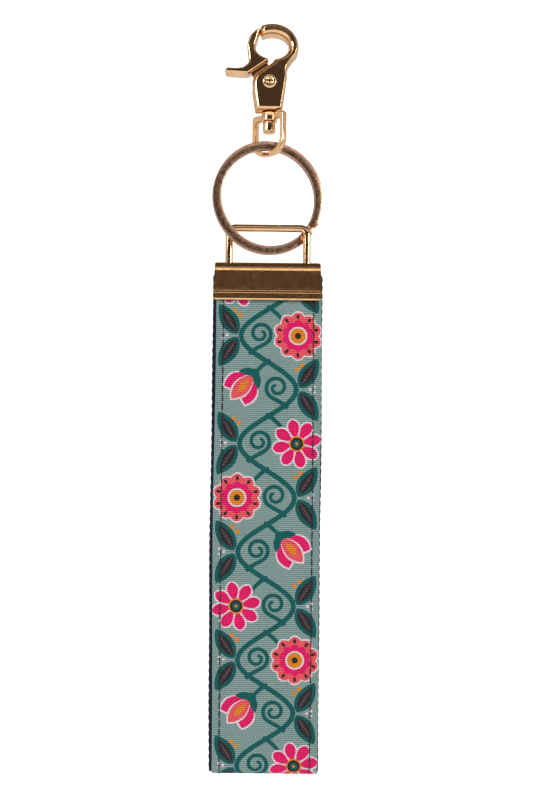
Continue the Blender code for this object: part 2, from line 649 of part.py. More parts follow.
def strap_clamp(coll, cutters, gold, parent):
    """Sheet folded over the wire's lower bar, with a rolled lip that grips the strap."""
    half = clamp_section()
    section = [(-y, z) for y, z in reversed(half[1:])] + half
    bm = bmesh.new()
    rows = 6
    columns = []
    for i in range(rows + 1):
        share = i / rows - 0.5
        column = []
        for y, z in section:
            low = (half[0][1] - z) / CLAMP_HEIGHT
            width = CLAMP_TOP_WIDTH + (CLAMP_FOOT_WIDTH - CLAMP_TOP_WIDTH) * low
            column.append(bm.verts.new((share * width, y, z)))
        columns.append(column)
    for a, b in zip(columns, columns[1:]):
        for k in range(len(section) - 1):
            bm.faces.new((a[k], b[k], b[k + 1], a[k + 1]))
    mesh = bpy.data.meshes.new("strap_clamp")
    bm.to_mesh(mesh)
    bm.free()
    obj = bpy.data.objects.new("strap_clamp", mesh)
    coll.objects.link(obj)
    put(obj, (0.0, 0.0, LOOP_FOOT_Z), parent)
    shell = obj.modifiers.new("Sheet", "SOLIDIFY")
    shell.thickness = CLAMP_SHEET
    shell.offset = -1.0
    shell.use_even_offset = True
    for side in (-1, 1):
        slot = leg_slot(side, cutters)
        put(slot, (side * LOOP_LEG_X, 0.0, CLAMP_TOP_Z), parent)
        boolean(obj, slot, "DIFFERENCE")
    obj.data.materials.append(gold)
    return obj


def leg_slot(side, cutters):
    """The slot in the clamp's top that a leg of the wire loop passes and swings in."""
    name = "leg_slot_left" if side < 0 else "leg_slot_right"
    half = WIRE_RADIUS + LEG_SLOT_PLAY
    reach = CLAMP_HALF_DEPTH - CLAMP_SHEET
    outline = [(-half, -reach), (half, -reach), (half, reach), (-half, reach)]
    return cutter(flat_solid(name, [outline], 2.2 * BAR_BELOW_TOP, (0.0, 0.0, 0.0), cutters))


# ---- Strap -----------------------------------------------------------------------------
def layer_gap(z):
    """Half the gap between the webbing layers at height z."""
    t = (z - FOLD_Z) / (FLEX_Z - FOLD_Z)
    straight = FOLD_INNER_RADIUS + (LAYER_GAP / 2 - FOLD_INNER_RADIUS) * t
    return straight + LAYER_BOW * math.sin(math.pi * t)


def strap_path(top=0.0, count=16):
    """The webbing's inner face as (y, z), down the front, round the fold, up the back."""
    front = []
    for i in range(count + 1):
        z = FLEX_Z + top + (FOLD_Z - FLEX_Z - top) * i / count
        front.append((-layer_gap(z), z))
    fold = arc((0.0, FOLD_Z), FOLD_INNER_RADIUS, 180.0, 360.0, 9)[1:-1]
    back = [(-y, z) for y, z in reversed(front)]
    return front + fold + back


def offset_path(path, distance):
    """The path moved outward by distance, away from the loop's inside."""
    moved = []
    last = len(path) - 1
    for i, point in enumerate(path):
        before = Vector(path[max(i - 1, 0)])
        after = Vector(path[min(i + 1, last)])
        along = (after - before).normalized()
        outward = Vector((along.y, -along.x))
        moved.append(tuple(Vector(point) + outward * distance))
    return moved


def strip(name, inner, outer, width, x, coll, mat, parent, top=0.0):
    """A strip that follows the strap, between two offsets from the webbing's inner face."""
    path = strap_path(top)
    outline = offset_path(path, outer) + offset_path(path, inner)[::-1]
    outline = [(y, z - FLEX_Z) for y, z in outline]
    obj = flat_solid(name, [outline], width, SIDE, coll)
    put(obj, (x, 0.0, FLEX_Z), parent)
    obj.data.materials.append(mat)
    return obj


def clamped_end(name, side, inner, outer, width, x, coll, mat, parent):
    """One flat end of a strip, inside the clamp and just under it."""
    low = CLAMP_FOOT_Z - END_BELOW_CLAMP - LOOP_FOOT_Z
    high = min(CLAMP_FOOT_Z + CLAMPED_LENGTH - LOOP_FOOT_Z, -WIRE_RADIUS - BAR_CLEARANCE)
    near = side * (LAYER_GAP / 2 + inner)
    far = side * (LAYER_GAP / 2 + outer)
    loop = [(near, low), (far, low), (far, high), (near, high)]
    obj = flat_solid(name, [loop], width, SIDE, coll)
    put(obj, (x, 0.0, LOOP_FOOT_Z), parent)
    obj.data.materials.append(mat)
    return obj


def strap(coll, navy, sage, black, clamp_axis, flex_axis):
    web = WEBBING_THICKNESS
    ribbon = (web + FACE_GAP, web + RIBBON_OUTER)
    strip("webbing_loop", 0.0, web, WEBBING_WIDTH, 0.0, coll, navy, flex_axis)
    strip("printed_ribbon", *ribbon, RIBBON_WIDTH, RIBBON_OFFSET_X, coll, sage, flex_axis)
    for side, word in ((-1, "front"), (1, "back")):
        name = "webbing_end_" + word
        clamped_end(name, side, 0.0, web, WEBBING_WIDTH, 0.0, coll, navy, clamp_axis)
        name = "ribbon_end_" + word
        clamped_end(name, side, *ribbon, RIBBON_WIDTH, RIBBON_OFFSET_X, coll, sage, clamp_axis)
    needle = (ribbon[1] + FACE_GAP, ribbon[1] + FACE_GAP + THREAD_THICKNESS)
    bobbin = (-FACE_GAP - THREAD_THICKNESS, -FACE_GAP)
    row_x = RIBBON_WIDTH / 2 - STITCH_INSET
    for side, word in ((-1, "left"), (1, "right")):
        x = RIBBON_OFFSET_X + side * row_x
        strip("needle_thread_" + word, *needle, THREAD_WIDTH, x, coll, black, flex_axis, -3 * MM)
        strip("bobbin_thread_" + word, *bobbin, THREAD_WIDTH, x, coll, black, flex_axis, -3 * MM)


def main():
    clear_scene()
    coll = new_collection("wristlet_keychain")
    cutters = new_collection("cutters")
    gold = finish("light_gold", GOLD, 0.18, 1.0)
    bronze = finish("brushed_bronze", BRONZE, 0.32, 1.0)
    steel = finish("spring_steel", STEEL, 0.3, 1.0)
    navy = finish("navy_webbing", NAVY, 0.85, 0.0)
    sage = finish("printed_ribbon", SAGE, 0.8, 0.0)
    black = finish("black_thread", BLACK, 0.6, 0.0)

    clasp = empty("clasp_frame", (0.0, 0.0, 0.0), coll)
    lever_axis = empty("lever_axis", (0.0, 0.0, RIVET_Z), coll, clasp)
    swivel_axis = empty("swivel_axis", (0.0, 0.0, BOSS_FOOT_Z), coll, clasp)
    ring_axis = empty("ring_axis", (0.0, 0.0, RING_BAND_Z), coll, swivel_axis)
    ring_middle = empty("ring_middle", (0.0, 0.0, RING_Z), coll, ring_axis)
    clamp_axis = empty("clamp_axis", (0.0, 0.0, LOOP_FOOT_Z), coll, ring_middle)
    flex_axis = empty("flex_axis", (0.0, 0.0, FLEX_Z), coll, clamp_axis)

    hook_body(coll, cutters, gold, clasp)
    pivot_rivet(coll, gold, clasp)
    lever_spring(coll, steel, clasp)
    swivel_stem(coll, gold, clasp)
    trigger_lever(coll, cutters, gold, lever_axis)
    swivel_bail(coll, cutters, gold, swivel_axis)
    split_ring(coll, bronze, ring_axis)
    wire_loop(coll, gold, ring_middle)
    strap_clamp(coll, cutters, gold, clamp_axis)
    strap(coll, navy, sage, black, clamp_axis, flex_axis)


main()
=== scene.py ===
"""Wristlet keychain: trigger clasp, swivel bail, split ring, wire loop, strap clamp and a
webbing wrist strap faced with a printed floral ribbon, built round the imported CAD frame.
"""

import math

import bmesh
import bpy
import numpy as np
from bpy.props import FloatProperty, FloatVectorProperty, PointerProperty
from mathutils import Matrix, Vector
from mathutils.geometry import delaunay_2d_cdt


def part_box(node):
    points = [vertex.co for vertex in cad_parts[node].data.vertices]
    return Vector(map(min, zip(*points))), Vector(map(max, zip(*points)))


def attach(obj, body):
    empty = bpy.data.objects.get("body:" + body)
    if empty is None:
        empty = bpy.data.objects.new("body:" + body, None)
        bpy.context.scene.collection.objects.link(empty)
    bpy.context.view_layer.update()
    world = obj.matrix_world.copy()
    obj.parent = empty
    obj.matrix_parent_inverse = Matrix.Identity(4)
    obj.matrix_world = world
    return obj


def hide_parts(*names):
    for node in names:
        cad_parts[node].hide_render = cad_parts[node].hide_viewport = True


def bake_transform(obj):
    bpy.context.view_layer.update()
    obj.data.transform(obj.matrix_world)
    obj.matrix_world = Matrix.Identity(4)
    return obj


bl_info = {
    "name": "Wristlet Keychain",
    "version": (1, 0, 0),
    "blender": (4, 5, 0),
    "location": "3D View > Sidebar > Keychain",
    "description": "Builds a wristlet keychain piece by piece",
    "category": "Object",
}

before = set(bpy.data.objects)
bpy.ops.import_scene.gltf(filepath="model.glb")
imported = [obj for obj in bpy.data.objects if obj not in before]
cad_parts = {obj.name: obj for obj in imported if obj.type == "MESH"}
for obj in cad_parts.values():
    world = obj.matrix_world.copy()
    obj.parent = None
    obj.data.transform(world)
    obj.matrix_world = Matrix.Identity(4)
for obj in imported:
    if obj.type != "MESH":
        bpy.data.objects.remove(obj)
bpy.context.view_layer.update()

MM = 0.001

# ---- Places taken from the frame ---------------------------------------------------
RIVET_Z = (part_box("pivot_rivet")[0].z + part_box("pivot_rivet")[1].z) / 2
RIVET_TOP_Y = -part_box("pivot_rivet")[0].y
BODY_FOOT_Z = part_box("hook_body")[0].z
BODY_HALF_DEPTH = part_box("hook_body")[1].y
LEVER_HALF_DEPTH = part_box("trigger_lever")[1].y
BAIL_TOP_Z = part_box("swivel_bail")[1].z
STEM_FOOT_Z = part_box("swivel_stem")[0].z
STEM_TOP_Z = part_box("swivel_stem")[1].z
RING_Z = (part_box("split_ring")[0].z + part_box("split_ring")[1].z) / 2
LOOP_FOOT_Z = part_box("wire_loop")[0].z + 1.1 * MM
LOOP_TOP_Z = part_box("wire_loop")[1].z - 1.1 * MM
CLAMP_TOP_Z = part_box("strap_clamp")[1].z
CLAMP_FOOT_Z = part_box("strap_clamp")[0].z - 0.6 * MM    # the lip is rolled a little lower
FLEX_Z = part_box("webbing_loop")[1].z
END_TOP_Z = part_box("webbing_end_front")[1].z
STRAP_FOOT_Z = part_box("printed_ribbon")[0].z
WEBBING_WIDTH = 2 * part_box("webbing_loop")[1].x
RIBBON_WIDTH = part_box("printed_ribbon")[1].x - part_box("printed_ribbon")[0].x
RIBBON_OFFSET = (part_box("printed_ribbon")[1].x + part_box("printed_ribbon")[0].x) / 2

# ---- Clasp -------------------------------------------------------------------------
EYE = (0.6 * MM, 10.2 * MM)            # the eye's middle, from the rivet
EYE_WIDE = 4.75 * MM
EYE_HIGH = 3.45 * MM
HOOK_SIDE = 3.0 * MM
HOOK_CROWN = 3.4 * MM
HOOK_TIP_ANGLE = 127.0
FOOT_DROP = 0.8 * MM                   # the cast foot stands this much below the core's
FACE_SHIFT = 0.4 * MM                  # the body's faces sit right of its parting line
STEM_RADIUS = 1.05 * MM
STEM_HEAD_RADIUS = 1.85 * MM
STEM_HEAD_HEIGHT = 3.2 * MM
STEM_HEAD_ROUND = 0.75 * MM
SLOT_HALF_WIDTH = 1.45 * MM
RIVET_RADIUS = 2.05 * MM
RIVET_SHANK = 1.2 * MM
RIVET_HOLE = 1.28 * MM
RIVET_SINK = 0.18 * MM                 # the head's middle is struck in this deep
DIMPLE_PLACE = 0.85 * MM               # from the rivet's axis
DIMPLE_DEPTH = 0.22 * MM
TAB_SLANT = math.radians(34.3)
CHAMFER_LEAN = -24.0
# ---- Bail --------------------------------------------------------------------------
BOSS_FOOT_Z = BAIL_TOP_Z - 3.3 * MM
BAIL_HALF_WIDTH = 6.0 * MM
BAIL_LEG = 1.5 * MM
BAIL_HALF_DEPTH = 0.85 * MM
BAIL_TURN = math.radians(-40)
BOSS_RADIUS = 2.25 * MM
BOSS_BORE = 1.13 * MM
# ---- Ring and loop -----------------------------------------------------------------
RING_RADIUS = 15.15 * MM
RING_BAND = 2.5 * MM
RING_COIL = 1.06 * MM
RING_COIL_GAP = 0.06 * MM
RING_SKEW = math.radians(12.38)
RING_END = -31.0                       # degrees, where the wire's cut end shows
RING_WOUND = 694.0                     # degrees that the wire is wound through
RING_STEP = (343.0, 17.0)              # degrees: where it steps back, and over how far
RING_BREAK = 0.16 * MM                 # the wire's corners are broken by this much
WIRE_RADIUS = 1.1 * MM
LOOP_LEG_X = 11.3 * MM
LOOP_CORNER = 1.9 * MM
LOOP_FOOT_CORNER = 1.3 * MM
# ---- Clamp and strap ---------------------------------------------------------------
CLAMP_SHEET = 0.75 * MM
CLAMP_HALF_DEPTH = 3.29 * MM
CLAMP_LIP = 0.65 * MM
CLAMP_LIP_PROUD = 0.35 * MM
CLAMP_TOP_WIDTH = 30.4 * MM
CLAMP_SPREAD = 1.0 * MM                # how much wider it is at its foot
CLAMP_CORNERS = (0.7 * MM, 1.3 * MM)   # folded at the top, rolled at the foot
LEG_HOLE = (1.4 * MM, 2.54 * MM)
WEB_THICK = 1.5 * MM
RIBBON_THICK = 0.35 * MM
LAYER_HALF_GAP = 0.35 * MM
LAYER_BOW = 2.6 * MM
FOLD_RADIUS = 0.7 * MM
SEAT_GAP = 0.06 * MM                   # between cloth layers that lie on each other
WEB_EDGE_ROUND = 0.34 * MM
STITCH_START = 5.6 * MM                # from each end of the strap to its first stitch
FOLD_Z = STRAP_FOOT_Z + FOLD_RADIUS + WEB_THICK + SEAT_GAP + RIBBON_THICK
# ---- View --------------------------------------------------------------------------
VIEW_DISTANCE = 265 * MM
VIEW_HEIGHT = 232.3 * MM               # how much is seen at the keychain, top to bottom
VIEW_MIDDLE_Z = -105.4 * MM
VIEW_ROLL = math.radians(0.57)
SENSOR = 36.0
FLOOR_Z = -0.30
SWEEP_START = 0.55                     # where the floor begins to curve up, and how far
SWEEP_RADIUS = 0.5
LAMPS = (("Key", (-0.50, -0.42, 0.16), 0.22, 2.2), ("Fill", (0.54, -0.40, 0.06), 0.20, 1.7))
CAST_STEP = 0.22 * MM                  # between the points round a cast outline
AXIS_HOLE = 0.004 * MM                 # a ring this small stands for a point on an axis


# ---- Sizes and colours that a user would change --------------------------------------
def length(name, note, default):
    return FloatProperty(name=name, description=note, default=default, unit="LENGTH",
                         min=0.05 * MM, precision=5)


def colour(name, note, default):
    return FloatVectorProperty(name=name, description=note, default=default, subtype="COLOR",
                               size=3, min=0.0, max=1.0)


class KeychainSizes(bpy.types.PropertyGroup):
    weave_rib: length("Ribbon rib", "Height of one rib of the ribbon's weave", 0.58 * MM)
    weave_float: length("Ribbon float", "Length of one float across the ribbon", 0.92 * MM)
    webbing_rib: length("Webbing rib", "Pitch of the ribs along the webbing", 2.3 * MM)
    stitch_pitch: length("Stitch", "Length of one stitch", 2.6 * MM)
    stitch_inset: length("Stitch inset", "From the ribbon's edge to its stitches", 2.2 * MM)
    thread: length("Thread", "Thickness of the sewing thread", 0.36 * MM)
    edge_ripple: length("Edge ripple", "How far the webbing's edge ribs stand out", 0.20 * MM)
    dimple: length("Dimple", "Radius of the four dimples in the rivet", 0.42 * MM)


class KeychainColours(bpy.types.PropertyGroup):
    gold: colour("Gold", "Plating of the clasp, bail and loop", (0.80, 0.52, 0.28))
    clamp: colour("Clamp gold", "Plating of the strap clamp", (0.88, 0.54, 0.25))
    bronze: colour("Ring bronze", "Brushed face of the split ring", (0.50, 0.31, 0.205))
    steel: colour("Spring steel", "The lever's spring", (0.55, 0.55, 0.56))
    navy: colour("Webbing", "Navy webbing", (0.008, 0.014, 0.035))
    thread: colour("Thread", "Sewing thread", (0.012, 0.012, 0.013))
    ground: colour("Ground", "Sage ground of the print", (0.245, 0.375, 0.355))
    teal: colour("Teal", "Leaves and tendrils", (0.004, 0.120, 0.118))
    pink: colour("Pink", "Hot pink ink", (0.86, 0.010, 0.150))
    coral: colour("Coral", "Coral ink", (0.90, 0.110, 0.135))
    orange: colour("Orange", "Orange ink", (0.83, 0.27, 0.015))
    white: colour("White", "Cool white ink", (0.80, 0.74, 0.80))
    vein: colour("Vein", "Fine lines in the dark leaves", (0.17, 0.12, 0.14))
    black: colour("Black", "Warm black ink", (0.030, 0.024, 0.026))


def sizes():
    return bpy.context.scene.keychain_sizes


def colours():
    return bpy.context.scene.keychain_colours


# ---- Outlines ------------------------------------------------------------------------
def arc(middle, wide, high, start, end, count):
    """Points of an ellipse from angle start to end, in degrees."""
    a = np.radians(np.linspace(start, end, count))
    return list(zip(middle[0] + wide * np.cos(a), middle[1] + high * np.sin(a)))


def smooth_run(points, count):
    """A smooth curve through the points, count steps between each two."""
    run = []
    last = len(points) - 1
    for i in range(last):
        p0, p1 = Vector(points[max(i - 1, 0)]), Vector(points[i])
        p2, p3 = Vector(points[i + 1]), Vector(points[min(i + 2, last)])
        for k in range(count):
            t = k / count
            run.append(tuple(0.5 * (2 * p1 + (p2 - p0) * t
                                    + (2 * p0 - 5 * p1 + 4 * p2 - p3) * t ** 2
                                    + (3 * p1 - p0 - 3 * p2 + p3) * t ** 3)))
    run.append(tuple(points[last]))
    return run


def even_run(loop, step):
    """The closed loop again, in even steps, counter-clockwise."""
    p = np.array(loop, float)
    x, y = p[:, 0], p[:, 1]
    if np.sum(x * np.roll(y, -1) - y * np.roll(x, -1)) < 0:
        p = p[::-1]
    closed = np.vstack([p, p[:1]])
    seg = np.linalg.norm(np.diff(closed, axis=0), axis=1)
    run = np.concatenate([[0.0], np.cumsum(seg)])
    count = max(12, round(run[-1] / step))
    s = np.arange(count) / count * run[-1]
    return np.stack([np.interp(s, run, closed[:, k]) for k in range(2)], axis=1)


def inset_run(loop, distance):
    """The loop moved inward. Points that would cross settle between their neighbours."""
    ahead, behind = np.roll(loop, -1, 0), np.roll(loop, 1, 0)
    along = ahead - behind
    along /= np.linalg.norm(along, axis=1)[:, None]
    moved = loop + np.stack([-along[:, 1], along[:, 0]], axis=1) * distance
    side = (ahead - loop)[None]
    from_start = moved[:, None] - loop[None]
    t = np.clip((from_start * side).sum(2) / (side ** 2).sum(2), 0, 1)
    gap = np.linalg.norm(from_start - side * t[..., None], axis=2).min(1)
    good = np.flatnonzero(gap > distance * 0.97)
    count = len(loop)
    far = np.concatenate([good - count, good, good + count])
    spots = np.tile(moved[good], (3, 1))
    return np.stack([np.interp(np.arange(count), far, spots[:, k]) for k in range(2)], axis=1)


# ---- Meshes ----------------------------------------------------------------------------
def new_piece(name, verts, faces, sharp=32.0):
    """A new object in the scene, smooth but for edges sharper than that angle."""
    mesh = bpy.data.meshes.new(name)
    mesh.from_pydata([tuple(v) for v in verts], [], [tuple(f) for f in faces])
    mesh.validate()
    obj = bpy.data.objects.new(name, mesh)
    bpy.context.scene.collection.objects.link(obj)
    return shade(obj, sharp)


def shade(obj, sharp=32.0, weighted=False):
    """Faces outward and shades smooth, with flat faces kept flat if weighted."""
    mesh = obj.data
    bm = bmesh.new()
    bm.from_mesh(mesh)
    bmesh.ops.recalc_face_normals(bm, faces=bm.faces)
    bm.to_mesh(mesh)
    bm.free()
    mesh.shade_smooth()
    mesh.set_sharp_from_angle(angle=math.radians(sharp))
    if weighted and "Normals" not in obj.modifiers:
        normals = obj.modifiers.new("Normals", "WEIGHTED_NORMAL")
        normals.keep_sharp = True
        normals.weight = 80
    return obj


def grid_faces(rows, columns, closed=True, first=0):
    """Quads between rows of points, each row closed on itself or open."""
    faces = []
    for r in range(rows - 1):
        for c in range(columns if closed else columns - 1):
            d = (c + 1) % columns
            a, b = first + r * columns, first + (r + 1) * columns
            faces.append((a + c, a + d, b + d, b + c))
    return faces


def tube(name, rows, sharp=32.0):
    """A skin over rows of points with both ends closed."""
    count = len(rows[0])
    verts = [p for row in rows for p in row]
    faces = grid_faces(len(rows), count)
    faces += [tuple(range(count))[::-1], tuple(range(len(verts) - count, len(verts)))]
    return new_piece(name, verts, faces, sharp)


def carve(obj, tool, operation="DIFFERENCE"):
    """Cuts or joins the tool into obj for good, and removes the tool."""
    mod = obj.modifiers.new("Carve", "BOOLEAN")
    mod.object = tool
    mod.operation = operation
    mod.solver = "EXACT"
    bpy.context.view_layer.update()
    made = bpy.data.meshes.new_from_object(
        obj.evaluated_get(bpy.context.evaluated_depsgraph_get()))
    obj.modifiers.clear()
    old, obj.data = obj.data, made
    made.name = obj.name
    bpy.data.meshes.remove(old)
    bpy.data.objects.remove(tool, do_unlink=True)
    return obj


def cast(name, loop, half_depth, edge, profile, shift=0.0):
    """A cast blank: the outline at its parting line, drawn in to a flat face on each side.
    profile is (share of the depth, share of the edge) from the parting line to the face."""
    base = even_run(loop, CAST_STEP)
    rows = []
    for d, e in [(-d, e) for d, e in reversed(profile)] + profile[1:]:
        flat = inset_run(base, edge * e) if e > 0 else base
        rows.append([(x + shift * e, d * half_depth, z) for x, z in flat])
    return tube(name, rows)


def prism(name, loop, low, high, turn=None):
    """A plain cutter: the (x, z) loop from y low to y high, turned by a matrix."""
    rows = [[Vector((x, y, z)) for x, z in loop] for y in (low, high)]
    if turn is not None:
        rows = [[turn @ p for p in row] for row in rows]
    return tube(name, rows)


def spun(name, profile, count=56):
    """A solid of revolution about Z. The profile is (radius, z) with both ends on the axis."""
    turns = np.arange(count) / count * 2 * math.pi
    rows = []
    for r, z in profile:
        r = max(r, AXIS_HOLE)
        rows.append([(r * math.cos(a), r * math.sin(a), z) for a in turns])
    return tube(name, rows)


def moved(obj, place):
    """The piece with its mesh shifted."""
    obj.data.transform(Matrix.Translation(place))
    return obj


def belongs(obj, body, slot, material, *nodes):
    """Gives a piece its finish and its body, and hides the CAD nodes it stands for."""
    obj.data.materials.clear()
    obj.data.materials.append(material)
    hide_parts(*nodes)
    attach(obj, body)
    return obj


# ---- Materials -------------------------------------------------------------------------
def node(tree, kind, inputs=None, **settings):
    """A node with its inputs linked or set."""
    made = tree.nodes.new(kind)
    for key, value in settings.items():
        setattr(made, key, value)
    for key, value in (inputs or {}).items():
        if isinstance(value, bpy.types.NodeSocket):
            tree.links.new(value, made.inputs[key])
        else:
            made.inputs[key].default_value = value
    return made


def sum_of(tree, operation, *values):
    """One math node over the values, as its result."""
    return node(tree, "ShaderNodeMath", dict(enumerate(values)), operation=operation).outputs[0]


def blended(tree, share, a, b, mode="MIX"):
    """Colour a turned into b by a share."""
    made = node(tree, "ShaderNodeMix", data_type="RGBA", blend_type=mode)
    for spot, value in ((0, share), (6, a), (7, b)):
        if isinstance(value, bpy.types.NodeSocket):
            tree.links.new(value, made.inputs[spot])
        else:
            made.inputs[spot].default_value = value if spot == 0 else (*value[:3], 1.0)
    return made.outputs[2]


def ranged(tree, value, low, high, to_low=0.0, to_high=1.0):
    """The value moved from one range to another and held inside it."""
    made = node(tree, "ShaderNodeMapRange", {0: value, 1: low, 2: high, 3: to_low, 4: to_high})
    return made.outputs[0]


def effect(name, takes, gives):
    """A node group with its named sockets: takes and gives are (name, kind, default)."""
    tree = bpy.data.node_groups.new(name, "ShaderNodeTree")
    for word, kind, default in takes:
        made = tree.interface.new_socket(word, in_out="INPUT", socket_type=kind)
        if default is not None:
            made.default_value = default
    for word, kind in gives:
        tree.interface.new_socket(word, in_out="OUTPUT", socket_type=kind)
    return tree, node(tree, "NodeGroupInput").outputs, node(tree, "NodeGroupOutput").inputs


def placed(tree, group, **inputs):
    """A shared effect in a material, with this material's own values."""
    made = node(tree, "ShaderNodeGroup")
    made.node_tree = group
    for key, value in inputs.items():
        key = key.replace("_", " ")
        if isinstance(value, bpy.types.NodeSocket):
            tree.links.new(value, made.inputs[key])
        else:
            made.inputs[key].default_value = value
    return made.outputs


def weave_effect():
    """Ribs across the cloth, each a row of floats set half a float off the next."""
    real = "NodeSocketFloat"
    tree, take, give = effect(
        "Weave",
        [("Place", "NodeSocketVector", None), ("Rib", real, 0.58), ("Float", real, 0.92)],
        [("Height", real), ("Gap", real), ("Yarn", real)])
    spot = node(tree, "ShaderNodeSeparateXYZ", {0: take["Place"]}).outputs
    slub = node(tree, "ShaderNodeTexNoise",
                {"Vector": take["Place"], "Scale": 0.55, "Detail": 2.0})
    drift = sum_of(tree, "MULTIPLY_ADD", slub.outputs[0], 0.5, -0.25)
    along = sum_of(tree, "ADD", sum_of(tree, "DIVIDE", spot["Y"], take["Rib"]), drift)
    row = sum_of(tree, "FLOOR", along)
    half = sum_of(tree, "FRACT", sum_of(tree, "MULTIPLY", row, 0.5))
    across = sum_of(tree, "ADD", sum_of(tree, "DIVIDE", spot["X"], take["Float"]), half)
    column = sum_of(tree, "FLOOR", across)
    ridge = sum_of(tree, "SINE", sum_of(tree, "MULTIPLY", sum_of(tree, "FRACT", along), math.pi))
    bead = sum_of(tree, "SINE", sum_of(tree, "MULTIPLY", sum_of(tree, "FRACT", across), math.pi))
    dome = sum_of(tree, "MULTIPLY_ADD", sum_of(tree, "POWER", bead, 0.5), 0.4, 0.6)
    tree.links.new(sum_of(tree, "MULTIPLY", sum_of(tree, "POWER", ridge, 0.6), dome),
                   give["Height"])
    valley = ranged(tree, ridge, 0.80, 0.25)
    dash = ranged(tree, bead, 0.20, 0.75, 0.12, 1.0)
    joint = sum_of(tree, "MULTIPLY", ranged(tree, bead, 0.55, 0.05), 0.75)
    rows = sum_of(tree, "MULTIPLY", valley, dash)
    tree.links.new(sum_of(tree, "MAXIMUM", rows, joint), give["Gap"])
    cell = node(tree, "ShaderNodeCombineXYZ", {0: column, 1: row})
    dice = node(tree, "ShaderNodeTexWhiteNoise", {"Vector": cell.outputs[0]})
    tree.links.new(dice.outputs["Value"], give["Yarn"])
    return tree


def polish_effect():
    """Fine grain and broad cloudiness of plated metal, over the object's own coordinates."""
    real = "NodeSocketFloat"
    tree, take, give = effect(
        "Polish",
        [("Grain", real, 0.3), ("Cloud", real, 4.0), ("Fleck", real, 0.3)],
        [("Height", real), ("Cloudy", real), ("Flecks", real)])
    place = node(tree, "ShaderNodeTexCoord").outputs["Object"]
    fine = node(tree, "ShaderNodeTexNoise", {
        "Vector": place, "Scale": sum_of(tree, "DIVIDE", 1000.0, take["Grain"]), "Detail": 2.0})
    broad = node(tree, "ShaderNodeTexNoise", {
        "Vector": place, "Scale": sum_of(tree, "DIVIDE", 1000.0, take["Cloud"]), "Detail": 3.0})
    spots = node(tree, "ShaderNodeTexVoronoi", {
        "Vector": place, "Scale": sum_of(tree, "DIVIDE", 1000.0, take["Fleck"])})
    tree.links.new(fine.outputs[0], give["Height"])
    tree.links.new(broad.outputs[0], give["Cloudy"])
    tree.links.new(ranged(tree, spots.outputs["Distance"], 0.28, 0.05), give["Flecks"])
    return tree


def fresh(name):
    """A new material with its tree and its shader."""
    mat = bpy.data.materials.new(name)
    mat.use_nodes = True
    return mat, mat.node_tree, mat.node_tree.nodes["Principled BSDF"]


def metal(name, tint, rough, grain, depth, cloud=4.0, fleck=0.5, dull=0.08, stain=0.12):
    """Plated metal: its roughness and tint vary softly, and fine grain breaks its shine."""
    found = bpy.data.materials.get(name)
    if found:
        return found
    mat, tree, shader = fresh(name)
    group = bpy.data.node_groups.get("Polish") or polish_effect()
    marks = placed(tree, group, Grain=grain, Cloud=cloud, Fleck=fleck)
    dark = tuple(c * (1 - stain) for c in tint)
    tone = blended(tree, ranged(tree, marks["Cloudy"], 0.35, 0.65), tint, dark)
    bright = tuple(min(1.0, c * 1.12) for c in tint)
    tone = blended(tree, sum_of(tree, "MULTIPLY", marks["Flecks"], 0.35), tone, bright)
    tree.links.new(tone, shader.inputs["Base Color"])
    tree.links.new(ranged(tree, marks["Cloudy"], 0.3, 0.7, rough - dull / 2, rough + dull),
                   shader.inputs["Roughness"])
    shader.inputs["Metallic"].default_value = 1.0
    bump = node(tree, "ShaderNodeBump", {
        "Strength": 1.0, "Distance": depth, "Height": marks["Height"]})
    tree.links.new(bump.outputs[0], shader.inputs["Normal"])
    return mat


def gold():
    return metal("Plated gold", tuple(colours().gold), 0.08, 0.7, 0.005 * MM, dull=0.05)


def clamp_gold():
    return metal("Stamped gold", tuple(colours().clamp), 0.17, 0.34, 0.014 * MM, cloud=1.5,
                 fleck=0.5, dull=0.08, stain=0.15)


def bronze():
    return metal("Brushed bronze", tuple(colours().bronze), 0.24, 0.16, 0.006 * MM, cloud=0.9,
                 fleck=0.3, dull=0.10, stain=0.20)


def steel():
    return metal("Spring steel", tuple(colours().steel), 0.28, 0.2, 0.006 * MM)


